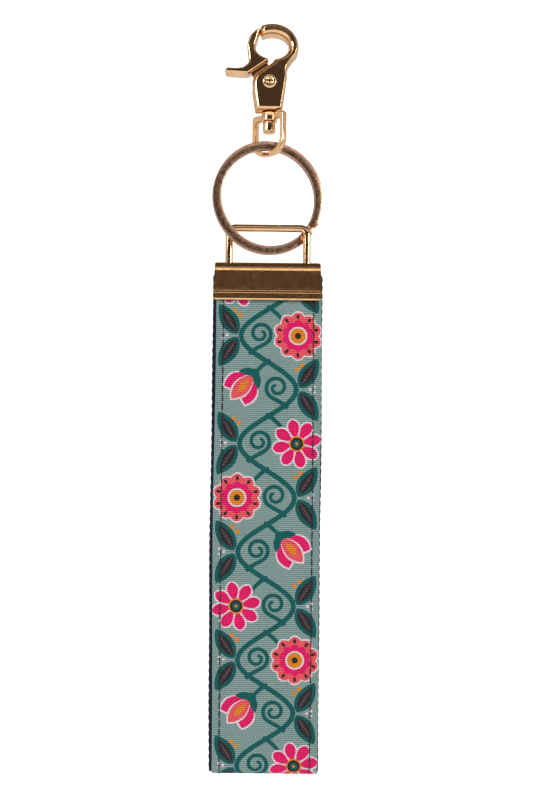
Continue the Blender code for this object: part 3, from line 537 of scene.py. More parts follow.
def cloth(name, base, rib, strand, depth, dark, rough, sheen, lift=0.12):
    """Woven cloth: shaded gaps between ribs and a slightly different tone for each float."""
    mat, tree, shader = fresh(name)
    group = bpy.data.node_groups.get("Weave") or weave_effect()
    flat = node(tree, "ShaderNodeUVMap", uv_map="Cut").outputs[0]
    woven = placed(tree, group, Place=flat, Rib=rib / MM, Float=strand / MM)
    tone = base(tree) if callable(base) else base
    yarn = ranged(tree, woven["Yarn"], 0.0, 1.0, 0.0, 2 * lift)
    pale = blended(tree, 1.0, tone, (1.25, 1.25, 1.25), "MULTIPLY")
    tone = blended(tree, yarn, tone, pale)
    fleck = ranged(tree, woven["Yarn"], 0.80, 1.0, 0.0, 0.55)
    tone = blended(tree, fleck, tone, blended(tree, 1.0, tone, (1.15, 0.92, 0.98), "MULTIPLY"))
    shadow = blended(tree, 1.0, tone, (dark, dark, dark), "MULTIPLY")
    tone = blended(tree, woven["Gap"], tone, shadow)
    tree.links.new(tone, shader.inputs["Base Color"])
    shader.inputs["Specular IOR Level"].default_value = 0.18
    shader.inputs["Sheen Weight"].default_value = sheen
    shader.inputs["Sheen Roughness"].default_value = 0.5
    fuzz = node(tree, "ShaderNodeTexNoise", {"Vector": flat, "Scale": 9.0, "Detail": 3.0})
    tree.links.new(ranged(tree, fuzz.outputs[0], 0.3, 0.7, rough - 0.08, rough + 0.08),
                   shader.inputs["Roughness"])
    height = sum_of(tree, "MULTIPLY_ADD", fuzz.outputs[0], 0.25, woven["Height"])
    bump = node(tree, "ShaderNodeBump", {"Strength": 1.0, "Distance": depth, "Height": height})
    tree.links.new(bump.outputs[0], shader.inputs["Normal"])
    return mat


def ink_tone(tree):
    """The print's own colour of each face."""
    return node(tree, "ShaderNodeAttribute", attribute_name="Ink").outputs["Color"]


def thread_material():
    found = bpy.data.materials.get("Sewing thread")
    if found:
        return found
    mat, tree, shader = fresh("Sewing thread")
    flat = node(tree, "ShaderNodeUVMap", uv_map="Cut").outputs[0]
    plies = node(tree, "ShaderNodeTexWave", {"Vector": flat, "Scale": 1.4, "Distortion": 1.0},
                 bands_direction="DIAGONAL")
    base = tuple(colours().thread)
    tree.links.new(blended(tree, plies.outputs["Fac"], base, tuple(4 * c for c in base)),
                   shader.inputs["Base Color"])
    shader.inputs["Specular IOR Level"].default_value = 0.15
    tree.links.new(ranged(tree, plies.outputs["Fac"], 0.0, 1.0, 0.5, 0.7),
                   shader.inputs["Roughness"])
    bump = node(tree, "ShaderNodeBump", {
        "Strength": 1.0, "Distance": 0.03 * MM, "Height": plies.outputs["Fac"]})
    tree.links.new(bump.outputs[0], shader.inputs["Normal"])
    return mat


# ---- Clasp -----------------------------------------------------------------------------
CAST = [(0.0, 0.0), (0.25, 0.03), (0.5, 0.11), (0.66, 0.22), (0.78, 0.36), (0.87, 0.53),
        (0.94, 0.72), (0.98, 0.87), (1.0, 1.0)]
SOFT = [(0.0, 0.0), (0.55, 0.04), (0.75, 0.16), (0.88, 0.38), (0.96, 0.68), (1.0, 1.0)]


def hook_outline():
    """Round the hook and its body, with the rivet's axis at the origin."""
    foot = BODY_FOOT_Z - RIVET_Z - FOOT_DROP
    eye = arc(EYE, EYE_WIDE, EYE_HIGH, -82.0, HOOK_TIP_ANGLE, 60)
    crown = arc(EYE, EYE_WIDE + HOOK_SIDE, EYE_HIGH + HOOK_CROWN, HOOK_TIP_ANGLE - 12, -20, 50)
    middle = ((eye[-1][0] + crown[0][0]) / 2, (eye[-1][1] + crown[0][1]) / 2)
    nose = (middle[0] - 0.55 * MM, middle[1] - 0.1 * MM)
    tip = smooth_run([eye[-1], nose, crown[0]], 8)[1:-1]
    neck = smooth_run([crown[-1], (6.1 * MM, 5.65 * MM), (5.05 * MM, 3.4 * MM),
                       (4.95 * MM, 0.6 * MM), (3.7 * MM, foot)], 10)[1:]
    shoulder = smooth_run([(-4.2 * MM, foot), (-5.2 * MM, -1.5 * MM), (-4.6 * MM, 1.9 * MM),
                           (-3.0 * MM, 3.4 * MM), (-1.0 * MM, 4.75 * MM),
                           (0.55 * MM, 5.75 * MM)], 10)
    return eye + tip + crown + neck + shoulder


def lever_outline():
    """The arm beside the eye, its slanted foot and the thumb tab."""
    slant, away = Vector((0.826, 0.563)), Vector((-0.563, 0.826))
    foot = 5.28 * MM
    nose = 0.5 * MM
    foot_left = away * foot - slant * 4.0 * MM
    foot_right = arc(away * (foot + nose) + slant * 2.88 * MM, nose, nose, -56.0, 78.0, 8)
    inner = arc(EYE, EYE_WIDE, EYE_HIGH, -109.0, -191.0, 24)
    tip_x = min(x for x, z in hook_outline() if z > EYE[1] + EYE_HIGH / 2) + 0.22 * MM - nose
    tip = arc((tip_x, EYE[1] + 4.95 * MM), nose, nose, -20.0, 85.0, 9)
    x, z = EYE[0] - EYE_WIDE - 2.45 * MM, EYE[1]
    back = smooth_run([tip[-1], (x + 0.95 * MM, z + 3.35 * MM), (x, z + 0.4 * MM),
                       (x + 0.3 * MM, z - 2.6 * MM), (x + 0.25 * MM, z - 4.7 * MM),
                       (x - 1.2 * MM, z - 6.0 * MM)], 12)
    tab = [(-9.6 * MM, 3.98 * MM), (-10.9 * MM, 4.05 * MM)]
    tab += arc((-12.15 * MM, 3.25 * MM), 0.85 * MM, 0.85 * MM, 88.0, 255.0, 12)
    return inner + tip[:-1] + back + tab + [tuple(foot_left)] + foot_right


def at_rivet(obj):
    """From the rivet's axis to its place in the frame."""
    return moved(obj, (0.0, 0.0, RIVET_Z))


def clasp_body():
    obj = cast("clasp_body", hook_outline(), BODY_HALF_DEPTH, 1.15 * MM, CAST,
               FACE_SHIFT)
    slot = arc((0.0, 0.0), 4.1 * MM, 4.1 * MM, -140.6, 80.0, 30)
    slot += [(0.2 * MM, 4.9 * MM), (0.2 * MM, 7.55 * MM), (-9.2 * MM, 7.55 * MM),
             (-9.2 * MM, -2.6 * MM)]
    carve(obj, prism("slot", slot, -SLOT_HALF_WIDTH, SLOT_HALF_WIDTH))
    at_rivet(obj)
    shade(obj, 38.0, weighted=True)
    return belongs(obj, "clasp", "light_gold", gold(), "hook_body")


def rivet_head():
    """A peened rivet: a rimmed head with a sunk middle and four punched dimples."""
    face = BODY_HALF_DEPTH + SEAT_GAP
    rings = 22
    turns = np.arange(64) / 64 * 2 * math.pi
    spots = [(DIMPLE_PLACE * math.cos(b), DIMPLE_PLACE * math.sin(b))
             for b in np.radians([42, 132, 222, 312])]
    rows = []
    for side in (-1, 1):
        levels = []
        for i in range(rings + 1):
            r = max(RIVET_RADIUS * i / rings, AXIS_HOLE)
            share = r / RIVET_RADIUS
            high = (RIVET_TOP_Y - face) * (1 - max(0.0, (share - 0.72) / 0.28) ** 2.2)
            sunk = RIVET_SINK * max(0.0, 1 - (share / 0.62) ** 4)
            level = []
            for x, z in ((r * math.cos(a), r * math.sin(a)) for a in turns):
                near = [math.hypot(x - u, z - v) / sizes().dimple for u, v in spots]
                dent = DIMPLE_DEPTH * sum(max(0.0, 1 - gap ** 2) for gap in near)
                level.append((x, side * (face + high - sunk - dent), z))
            levels.append(level)
        levels.append([(RIVET_SHANK * math.cos(a), side * face, RIVET_SHANK * math.sin(a))
                       for a in turns])
        rows += levels if side < 0 else levels[::-1]
    obj = at_rivet(tube("rivet", rows, 40.0))
    shade(obj, 40.0)
    return belongs(obj, "clasp", "light_gold", gold(), "pivot_rivet")


def trigger():
    """The lever: arm, slanted foot and thumb tab, with a tongue on the rivet."""
    obj = cast("trigger", lever_outline(), LEVER_HALF_DEPTH, 0.62 * MM, SOFT)
    hub = arc((0.0, 0.0), 3.0 * MM, 3.0 * MM, 205.0, 425.0, 40)
    hub += [(-1.4 * MM, 6.2 * MM), (-5.9 * MM, 3.2 * MM)]
    carve(obj, prism("tongue", hub, -1.3 * MM, -0.2 * MM), "UNION")
    hole = disc((0.0, 0.0), RIVET_HOLE, 32)
    carve(obj, prism("hole", hole, -5 * MM, 5 * MM))
    for side in (-1, 1):
        chip = [(-7.2 * MM, 2.2 * MM), (0.9 * MM, 7.7 * MM), (-1.2 * MM, 9.2 * MM),
                (-9.0 * MM, 5.4 * MM)]
        lean = (Matrix.Translation((-3.4 * MM, side * 3.05 * MM, 5.0 * MM))
                @ Matrix.Rotation(TAB_SLANT, 4, "Y").inverted()
                @ Matrix.Rotation(math.radians(side * CHAMFER_LEAN), 4, "X")
                @ Matrix.Rotation(TAB_SLANT, 4, "Y")
                @ Matrix.Translation((3.4 * MM, 0.0, -5.0 * MM)))
        carve(obj, prism("chip", chip, min(0.0, side * 4 * MM), max(0.0, side * 4 * MM), lean))
    at_rivet(obj)
    shade(obj, 34.0, weighted=True)
    return belongs(obj, "lever", "light_gold", gold(), "trigger_lever")


def stem():
    """A pin under the clasp with a rounded head that carries the bail."""
    head = STEM_FOOT_Z + STEM_HEAD_HEIGHT
    r = STEM_HEAD_RADIUS
    profile = [(0.0, STEM_TOP_Z), (STEM_RADIUS, STEM_TOP_Z), (STEM_RADIUS, head),
               (r * 0.93, head), (r * 0.99, head - 0.08 * MM), (r, head - 0.2 * MM),
               (r, STEM_FOOT_Z + STEM_HEAD_ROUND)]
    for a in np.radians(range(10, 91, 10)):
        profile.append((r - 0.7 * MM * (1 - math.cos(a)),
                        STEM_FOOT_Z + STEM_HEAD_ROUND - STEM_HEAD_ROUND * math.sin(a)))
    profile.append((0.0, STEM_FOOT_Z))
    obj = spun("stem", profile)
    return belongs(obj, "clasp", "light_gold", gold(), "swivel_stem")


def link_outline(half_width, top, foot, corner, bow):
    """Round corners at the top and a full bow, flatter than an ellipse, at the foot."""
    right = arc((half_width - corner, top - corner), corner, corner, 90.0, 0.0, 12)
    base = []
    for i in range(49):
        a = math.radians(-180.0 * i / 48)
        across = math.copysign(abs(math.cos(a)) ** (2 / 2.6), math.cos(a))
        down = abs(math.sin(a)) ** (2 / 2.6)
        base.append((half_width * across, foot + bow * (1 - down)))
    left = arc((-half_width + corner, top - corner), corner, corner, 180.0, 90.0, 12)
    return right + base + left


def bail():
    """A cast link on a round collar that turns on the stem."""
    top = BAIL_TOP_Z - 1.0 * MM - BOSS_FOOT_Z
    seat = -8.7 * MM
    ring = cast("bail", link_outline(BAIL_HALF_WIDTH, top, seat - 1.35 * MM, 0.9 * MM, 5.6 * MM),
                BAIL_HALF_DEPTH, 0.42 * MM, SOFT)
    window = link_outline(BAIL_HALF_WIDTH - BAIL_LEG, top - 1.9 * MM, seat, 0.7 * MM, 4.4 * MM)
    inner = even_run(window, CAST_STEP)
    rows = []
    for d in np.linspace(-1.15, 1.15, 15):
        flare = 0.42 * MM * max(0.0, abs(d) - 0.5) ** 1.6
        row = inset_run(inner, -flare) if flare > 0 else inner
        rows.append([(x, d * BAIL_HALF_DEPTH, z) for x, z in row])
    carve(ring, tube("window", rows))
    ring.data.transform(Matrix.Rotation(BAIL_TURN, 4, "Z"))
    r = BOSS_RADIUS
    high = 3.2 * MM - FOOT_DROP
    collar = spun("collar", [(0.0, high), (r * 0.93, high), (r * 0.98, high - 0.06 * MM),
                             (r, high - 0.25 * MM), (r, 0.55 * MM), (r * 1.05, 0.42 * MM),
                             (r * 1.06, 0.22 * MM), (r * 1.02, 0.04 * MM), (r * 0.96, 0.0),
                             (0.0, 0.0)])
    carve(ring, collar, "UNION")
    bore = [(0.0, 9 * MM), (BOSS_BORE, 9 * MM), (BOSS_BORE, -9 * MM), (0.0, -9 * MM)]
    carve(ring, spun("bore", bore, 40))
    moved(ring, (0.0, 0.0, BOSS_FOOT_Z))
    shade(ring, 34.0, weighted=True)
    return belongs(ring, "bail", "light_gold", gold(), "swivel_bail")


# ---- Ring, loop and clamp ----------------------------------------------------------------
def split_ring():
    """Flat wire wound twice, stepping from the front coil to the back one between its ends."""
    u = Vector((math.cos(RING_SKEW), math.sin(RING_SKEW), 0.0))
    n = Vector((-math.sin(RING_SKEW), math.cos(RING_SKEW), 0.0))
    middle = Vector((0.0, 0.0, RING_Z))
    edge = RING_BREAK
    half = (RING_BAND / 2, RING_COIL / 2)
    corner = [(half[0], half[1] - edge), (half[0] - 0.3 * edge, half[1] - 0.3 * edge),
              (half[0] - edge, half[1])]
    section = corner + [(-a, b) for a, b in reversed(corner)]
    section += [(-a, -b) for a, b in corner] + [(a, -b) for a, b in reversed(corner)]
    offset = (RING_COIL + RING_COIL_GAP) / 2
    count = 340
    rows = []
    for i in range(count + 1):
        swept = 3.0 + i / count * RING_WOUND
        t = min(max((swept - RING_STEP[0]) / RING_STEP[1], 0.0), 1.0)
        side = -offset + 2 * offset * t * t * (3 - 2 * t)
        a = math.radians(RING_END + swept)
        out = u * math.cos(a) + Vector((0, 0, 1)) * math.sin(a)
        shrink = 0.86 if i in (0, count) else 1.0     # filed ends
        rows.append([middle + out * (RING_RADIUS + p * shrink) + n * (side + q * shrink)
                     for p, q in section])
    obj = tube("split_ring_wire", rows, 30.0)
    return belongs(obj, "ring", "brushed_bronze", bronze(), "split_ring")


def wire_loop():
    """Round wire bent to a rectangle. Its ends meet inside the clamp."""
    x, top = LOOP_LEG_X, LOOP_TOP_Z - LOOP_FOOT_Z
    c, low = LOOP_CORNER, LOOP_FOOT_CORNER
    path = [(-0.3 * MM, 0.0), (-x / 2, 0.0)]
    path += arc((-x + low, low), low, low, 270.0, 180.0, 12)
    path += [(-x, k * top) for k in (0.25, 0.45, 0.65)]
    path += arc((-x + c, top - c), c, c, 180.0, 90.0, 16)
    path += [(k * x, top) for k in (-0.6, -0.2, 0.2, 0.6)]
    path += arc((x - c, top - c), c, c, 90.0, 0.0, 16)
    path += [(x, k * top) for k in (0.65, 0.45, 0.25)]
    path += arc((x - low, low), low, low, 0.0, -90.0, 12)
    path += [(x / 2, 0.0), (0.3 * MM, 0.0)]
    points = [Vector((a, 0.0, b)) for a, b in path]
    rows = []
    for i, p in enumerate(points):
        along = (points[min(i + 1, len(points) - 1)] - points[max(i - 1, 0)]).normalized()
        across = along.cross(Vector((0, 1, 0)))
        rows.append([p + (across * math.cos(k) + Vector((0, 1, 0)) * math.sin(k)) * WIRE_RADIUS
                     for k in np.arange(28) / 28 * 2 * math.pi])
    obj = moved(tube("loop_wire", rows, 40.0), (0.0, 0.0, LOOP_FOOT_Z))
    return belongs(obj, "loop", "light_gold", gold(), "wire_loop")


def clamp_section():
    """Half of the clamp's outer section as (y, z), from its top down to the curled lip."""
    top, foot, face = CLAMP_TOP_Z, CLAMP_FOOT_Z, CLAMP_HALF_DEPTH
    lip = (face + CLAMP_LIP_PROUD - CLAMP_LIP, foot + CLAMP_LIP)
    flat = (face + CLAMP_LIP_PROUD, foot + 2.1 * MM)
    shoulder = arc((face - 1.62 * MM, top - 1.1 * MM), 1.1 * MM, 1.1 * MM, 90.0, 22.0, 14)
    wall = smooth_run([shoulder[-1], (face - 0.33 * MM, top - 1.3 * MM),
                       (face - 0.12 * MM, top - 2.0 * MM), (face - 0.02 * MM, top - 2.5 * MM),
                       (face, top - 2.9 * MM)], 5)[1:]
    roll = arc(lip, CLAMP_LIP, CLAMP_LIP, 0.0, -80.0, 16)
    crease = smooth_run([(face, foot + 3.6 * MM), (face - 0.03 * MM, foot + 3.0 * MM),
                         (face + 0.04 * MM, foot + 2.65 * MM), flat, roll[0]], 5)[:-1]
    return [(0.0, top), (face - 2.3 * MM, top)] + shoulder + wall + crease + roll


def clamp_width(z):
    """Half the clamp's width at a height, with its folded and rolled corners rounded."""
    low = (CLAMP_TOP_Z - z) / (CLAMP_TOP_Z - CLAMP_FOOT_Z)
    half = (CLAMP_TOP_WIDTH + CLAMP_SPREAD * low) / 2
    for gap, radius in zip((CLAMP_TOP_Z - z, z - CLAMP_FOOT_Z), CLAMP_CORNERS):
        if gap < radius:
            half -= radius - math.sqrt(max(0.0, radius ** 2 - (radius - gap) ** 2))
    return half


def strap_clamp():
    """Sheet folded over the loop's lower bar, with a rolled lip that grips the strap."""
    half = clamp_section()
    outer = [(-y, z) for y, z in reversed(half[1:])] + half
    pts = [Vector(p) for p in outer]
    inner = []
    for i, p in enumerate(pts):
        along = (pts[min(i + 1, len(pts) - 1)] - pts[max(i - 1, 0)]).normalized()
        inner.append(p + Vector((along.y, -along.x)) * CLAMP_SHEET)
    count = len(pts)
    section = list(enumerate(pts)) + [(count - 1 - i, p) for i, p in enumerate(inner[::-1])]
    shares = np.sin(np.linspace(-math.pi / 2, math.pi / 2, 33))
    shares = np.sign(shares) * np.abs(shares) ** 0.9
    rows = []
    for share in shares:
        row = []
        for k, p in section:
            x = share * clamp_width(pts[k].y)
            row.append((x, p.x, p.y))
        rows.append(row)
    verts = [p for row in rows for p in row]
    faces = grid_faces(len(rows), 2 * count)
    # The ends are closed in quads: one curved face there makes the cuts below unsteady.
    for first, way in ((0, -1), (len(verts) - 2 * count, 1)):
        for i in range(count - 1):
            corners = (i, i + 1, 2 * count - 2 - i, 2 * count - 1 - i)
            faces.append(tuple(first + k for k in corners[::way]))
    obj = new_piece("clamp_shell", verts, faces, 34.0)
    for side in (-1, 1):
        hole = arc((0.0, 0.0), *LEG_HOLE, 0.0, 345.0, 24)
        cut = [[Vector((x + side * LOOP_LEG_X, y, z)) for x, y in hole]
               for z in (CLAMP_TOP_Z - 2.2 * MM, CLAMP_TOP_Z + 2 * MM)]
        carve(obj, tube("leg_hole", cut))
    shade(obj, 34.0, weighted=True)
    return belongs(obj, "clamp", "clamp_gold", clamp_gold(), "strap_clamp")


# ---- Strap -------------------------------------------------------------------------------
def strap_line(offset, step):
    """Points (y, z) and outward normals along the strap at that distance from the webbing's
    inner face: down the front, round the fold, up the back. Evenly spaced."""
    height = FLEX_Z - FOLD_Z
    front = [(-LAYER_HALF_GAP, z) for z in np.linspace(END_TOP_Z, FLEX_Z, 24)[:-1]]
    for t in np.linspace(1.0, 0.0, 220):
        straight = FOLD_RADIUS + (LAYER_HALF_GAP - FOLD_RADIUS) * t
        bow = LAYER_BOW * math.sin(math.pi * t) * (1 - 0.35 * math.exp(-((1 - t) / 0.04) ** 2))
        front.append((-straight - bow, FOLD_Z + t * height))
    fold = arc((0.0, FOLD_Z), FOLD_RADIUS, FOLD_RADIUS, 180.0, 360.0, 40)[1:-1]
    line = np.array(front + fold + [(-y, z) for y, z in reversed(front)])
    along = np.gradient(line, axis=0)
    along /= np.linalg.norm(along, axis=1)[:, None]
    out = np.stack([along[:, 1], -along[:, 0]], axis=1)
    shifted = line + out * offset
    run = np.concatenate([[0.0], np.cumsum(np.linalg.norm(np.diff(shifted, axis=0), axis=1))])
    even = np.linspace(0.0, run[-1], max(2, round(run[-1] / step)) + 1)
    place = np.stack([np.interp(even, run, shifted[:, k]) for k in range(2)], axis=1)
    normal = np.stack([np.interp(even, run, out[:, k]) for k in range(2)], axis=1)
    normal /= np.linalg.norm(normal, axis=1)[:, None]
    return even, place, normal


def cut_coordinates(obj, flat):
    """Lays the piece's flat cut, in millimetres, into a UV map."""
    layer = obj.data.uv_layers.new(name="Cut")
    loops = np.zeros(len(obj.data.loops), np.int32)
    obj.data.loops.foreach_get("vertex_index", loops)
    layer.data.foreach_set("uv", (np.array(flat)[loops] / MM).astype(np.float32).ravel())


def drape(obj, material, slot, *nodes):
    """Cloth's finish, with the CAD nodes it stands for hidden and its place baked into its mesh.
    """
    obj.data.materials.append(material)
    if nodes:
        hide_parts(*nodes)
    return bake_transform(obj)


def webbing():
    """Two layers of one folded webbing, ribbed along its woven edges."""
    s = sizes()
    even, place, normal = strap_line(WEB_THICK / 2, 0.4 * MM)
    half, thick = WEBBING_WIDTH / 2, WEB_THICK / 2
    verts, flat = [], []
    for run, (y, z), (ny, nz) in zip(even, place, normal):
        rib = abs(math.sin(math.pi * run / s.webbing_rib))
        wave = 0.10 * MM * math.sin(run * 55.0) + 0.06 * MM * math.sin(run * 131.0 + 1.0)
        edge = half - s.edge_ripple * (1 - rib ** 0.7)
        plump = thick * (0.80 + 0.14 * rib)
        section = []
        for side in (1, -1):
            x = half - 0.9 * MM
            section += [(side * k * x, side * thick) for k in (-1.0, -0.5, 0.0, 0.5, 1.0)]
            section += [(side * (edge - WEB_EDGE_ROUND), side * plump),
                        (side * edge, side * 0.45 * plump),
                        (side * edge, -side * 0.45 * plump),
                        (side * (edge - WEB_EDGE_ROUND), -side * plump)]
        for x, d in section:
            verts.append((x + wave, y + ny * d, z + nz * d))
            flat.append((x + (2 * half if d < 0 else 0.0), -run))
    count = 18
    faces = grid_faces(len(even), count)
    faces += [tuple(range(count))[::-1], tuple(range(len(verts) - count, len(verts)))]
    obj = new_piece("webbing", verts, faces, 60.0)
    cut_coordinates(obj, flat)
    mat = cloth("Navy webbing", tuple(colours().navy), s.webbing_rib / 3, s.webbing_rib / 2,
                0.16 * MM, 0.35, 0.82, 0.06)
    drape(obj, mat, "navy_webbing", "webbing_loop", "webbing_end_front", "webbing_end_back")
    return obj


def stitch_rows(name, side, word, offset, inset, nodes):
    """One row of lock stitches: each dips into the cloth at both of its needle holes."""
    s = sizes()
    even, place, normal = strap_line(offset, 0.1 * MM)
    first, last = STITCH_START, float(even[-1]) - STITCH_START
    count = round((last - first) / s.stitch_pitch)
    pitch = (last - first) / count
    x0 = RIBBON_OFFSET + side * (RIBBON_WIDTH / 2 - s.stitch_inset)
    rows_in, sides = 6, 6
    verts, faces, flat = [], [], []
    for i in range(count):
        base = len(verts)
        lean = 0.05 * MM * math.sin(i * 2.4)
        for r in range(rows_in + 1):
            t = r / rows_in
            run = first + (i + 0.01 + 0.98 * t) * pitch
            y, z = (np.interp(run, even, place[:, k]) for k in range(2))
            ny, nz = (np.interp(run, even, normal[:, k]) for k in range(2))
            rise = math.sin(math.pi * t) ** 0.25
            lift = inset * (-0.30 + 0.60 * rise) * s.thread
            wide = s.thread / 2 * (0.55 + 0.45 * rise)
            for k in range(sides):
                a = k / sides * 2 * math.pi
                x = x0 + lean * (2 * t - 1) + wide * math.cos(a)
                d = lift + inset * wide * 0.85 * math.sin(a)
                verts.append((x, y + ny * d, z + nz * d))
                flat.append((k / sides * 1.1 * MM, -run))
        faces += grid_faces(rows_in + 1, sides, first=base)
        faces.append(tuple(range(base, base + sides))[::-1])
        faces.append(tuple(range(len(verts) - sides, len(verts))))
    obj = new_piece(f"{name}_{word}", verts, faces, 70.0)
    cut_coordinates(obj, flat)
    return drape(obj, thread_material(), "black_thread", *nodes)


def stitching():
    """Both rows, needle side out and bobbin side in."""
    outside = WEB_THICK + SEAT_GAP + RIBBON_THICK
    for side, word in ((-1, "left"), (1, "right")):
        stitch_rows("needle_stitches", side, word, outside, 1, ["needle_thread_" + word])
        stitch_rows("bobbin_stitches", side, word, 0.0, -1, ["bobbin_thread_" + word])


# ---- Print -------------------------------------------------------------------------------
# Every motif is a list of (ink, outline) in millimetres on the flat ribbon: x runs across
# it, and y along it, downward from nought at the clamp's lip.
FLOWER_STEP = 15.5                     # from one flower to the next, along the ribbon
FLOWER_SIDE = 8.4                      # how far the flowers sit from the ribbon's middle
VINE_SWING = 8.0
VINE_WIDTH = 1.4


def polar(at, angle, far):
    """The point that far from at, in degrees."""
    a = math.radians(angle)
    return (at[0] + far * math.cos(a), at[1] + far * math.sin(a))


def blade(at, angle, long, wide, belly=0.5, blunt=1.0):
    """A petal or leaf from its foot. belly is where it is widest, blunt below 1 rounds it."""
    ts = np.linspace(0.0, 1.0, 15)
    half = wide / 2 * np.sin(math.pi * ts ** (math.log(0.5) / math.log(belly))) ** blunt
    xs = np.concatenate([ts, ts[::-1]]) * long
    ys = np.concatenate([half, -half[::-1]])
    a = math.radians(angle)
    c, s = math.cos(a), math.sin(a)
    return [(at[0] + x * c - y * s, at[1] + x * s + y * c) for x, y in zip(xs, ys)]


def disc(at, far, count=26):
    """A round outline."""
    return arc(at, far, far, 0.0, 360.0 * (1 - 1 / count), count)


def rosette(at, far, bumps, deep):
    """A round outline whose edge swells into bumps."""
    steps = 7                          # to each bump
    n = bumps * steps
    return [polar(at, 360.0 * i / n, far - deep * (1 - abs(math.sin(math.pi * i / steps))))
            for i in range(n)]


def stroke(points, w0, w1, count=6):
    """A line of changing width with round ends, through the points."""
    run = np.array(smooth_run(points, count))
    along = np.gradient(run, axis=0)
    along /= np.linalg.norm(along, axis=1)[:, None]
    out = np.stack([-along[:, 1], along[:, 0]], axis=1)
    half = np.linspace(w0, w1, len(run))[:, None] / 2
    left, right = run + out * half, run - out * half
    cap = []
    base = math.degrees(math.atan2(*out[-1][::-1]))
    for k in (-45, -90, -135):
        cap.append(polar(run[-1], base + k, half[-1][0]))
    return [tuple(p) for p in left] + cap + [tuple(p) for p in right[::-1]]


def curl(at, far, angle, turns, w0, w1, hand, lead):
    """A tendril that winds in to at. hand is its sense, and lead are points it comes from."""
    steps = max(6, round(turns * 11))
    run = [polar(at, angle + hand * 360.0 * turns * i / steps, far * (1 - i / steps) ** 0.8
                 + 0.25 * far * i / steps) for i in range(steps + 1)]
    return stroke(lead + run, w0, w1, 3)


def daisy(at):
    """Eight even petals, pink on a white rim, round a ringed heart."""
    turns = [45.0 * k + 12.0 for k in range(8)]
    parts = [("white", blade(polar(at, a, 1.2), a, 6.2, 4.1, 0.62, 0.6)) for a in turns]
    parts += [("pink", blade(polar(at, a, 1.4), a, 5.6, 3.1, 0.62, 0.62)) for a in turns]
    return parts + [(ink, disc(at, far)) for ink, far in (
        ("orange", 2.2), ("black", 1.8), ("teal", 1.1), ("orange", 0.4))]


def blossom(at):
    """A round flower in scalloped rings, with a drop on each scallop."""
    parts = [(ink, rosette(at, far, 10, deep)) for ink, far, deep in (
        ("white", 7.3, 1.0), ("coral", 6.8, 1.0), ("pink", 4.6, 0.7))]
    parts += [("black", blade(polar(at, 36 * k + 18, 4.6), 36 * k + 18, 1.7, 0.9, 0.6, 0.8))
              for k in range(10)]
    return parts + [(ink, disc(at, far)) for ink, far in (
        ("white", 2.7), ("orange", 2.2), ("black", 0.9))]


def tulip(at, turn):
    """Three petals seen from the side, in two green sepals."""
    parts = []
    for ink, more in (("white", 1.0), ("pink", 0.0)):
        for lean in (-26, 26):
            parts.append((ink, blade(at, turn + lean, 9.4 + 0.6 * more, 4.6 + more, 0.6, 0.8)))
    parts.append(("white", blade(at, turn, 10.4, 5.2, 0.55, 0.8)))
    parts.append(("coral", blade(at, turn, 9.8, 4.3, 0.55, 0.8)))
    parts.append(("orange", blade(polar(at, turn, 2.4), turn, 4.8, 1.8, 0.55, 0.8)))
    for lean in (-50, 50):
        parts.append(("teal", blade(polar(at, turn, -0.6), turn + lean, 5.0, 2.2, 0.45, 0.8)))
    return parts + [("teal", disc(at, 1.4))]


def leaf(at, angle, long, wide, margin=1.1):
    """A dark leaf in a teal margin with fine pale veins."""
    parts = [("teal", blade(polar(at, angle, -margin * 0.8), angle, long + 2.2 * margin,
                            wide + 2 * margin, 0.45, 0.75)),
             ("black", blade(at, angle, long, wide, 0.45, 0.8)),
             ("vein", stroke([polar(at, angle, long * 0.06), polar(at, angle, long * 0.86)],
                             0.22, 0.1, 1))]
    for k in range(1, 6):
        root = polar(at, angle, long * (0.1 + 0.125 * k))
        far = wide * 0.30 * math.sin(math.pi * (0.2 + 0.12 * k))
        for side in (-1, 1):
            tip = polar(root, angle + side * 42, far)
            parts.append(("vein", stroke([root, tip], 0.16, 0.08, 1)))
    return parts


def bay(count, y):
    """One bend of the vine: its leaves and tendril, and the flower in the hollow."""
    side = 1 if count % 2 else -1      # the flower's side of the ribbon
    out = 90.0 + 90.0 * side           # away from the flower

    def spot(x, above):
        return (side * x, y + above)

    vine = [(-side * VINE_SWING * math.cos(math.pi * k / 12), y - FLOWER_STEP * k / 12)
            for k in range(-1, 14)]
    under = [("teal", stroke(vine, VINE_WIDTH, VINE_WIDTH, 1)),
             ("teal", stroke([spot(-0.6, 8.4), spot(1.6, 7.0), spot(4.0, 4.6)], 1.3, 1.1)),
             ("teal", curl(spot(-2.4, 0.6), 3.2, 90 - side * 150, 1.3, 1.2, 0.9, side,
                           [spot(-5.6, -5.4), spot(-4.4, -4.2)]))]
    over = []
    for lean in (-58, 58):
        over += leaf(spot(-9.4, 1.2 * math.copysign(1.0, lean) * -side), out + lean, 7.6, 2.9)
    for x, above in ((8.2, -9.6), (10.0, -10.6), (9.7, -8.4)):
        over.append(("orange", disc(spot(x, above), 0.65, count=12)))
    for x, above in ((-13.2, -0.6), (-13.2, 0.8), (-12.0, 0.1)):
        over.append(("white", disc(spot(x, above), 0.45, count=10)))
    middle = spot(FLOWER_SIDE, 0.0)
    flower = (daisy(middle), blossom(middle), tulip(spot(4.0, 4.6), 90 - side * 138))[count % 3]
    return under, over + flower


def vine_print(top, foot):
    """The whole print from top to foot, in the order that its inks lie on each other."""
    bays = [bay(i, top - 2.0 - FLOWER_STEP * i)
            for i in range(math.ceil((top - foot) / FLOWER_STEP) + 1)]
    return [part for layer in zip(*bays) for group in layer for part in group]


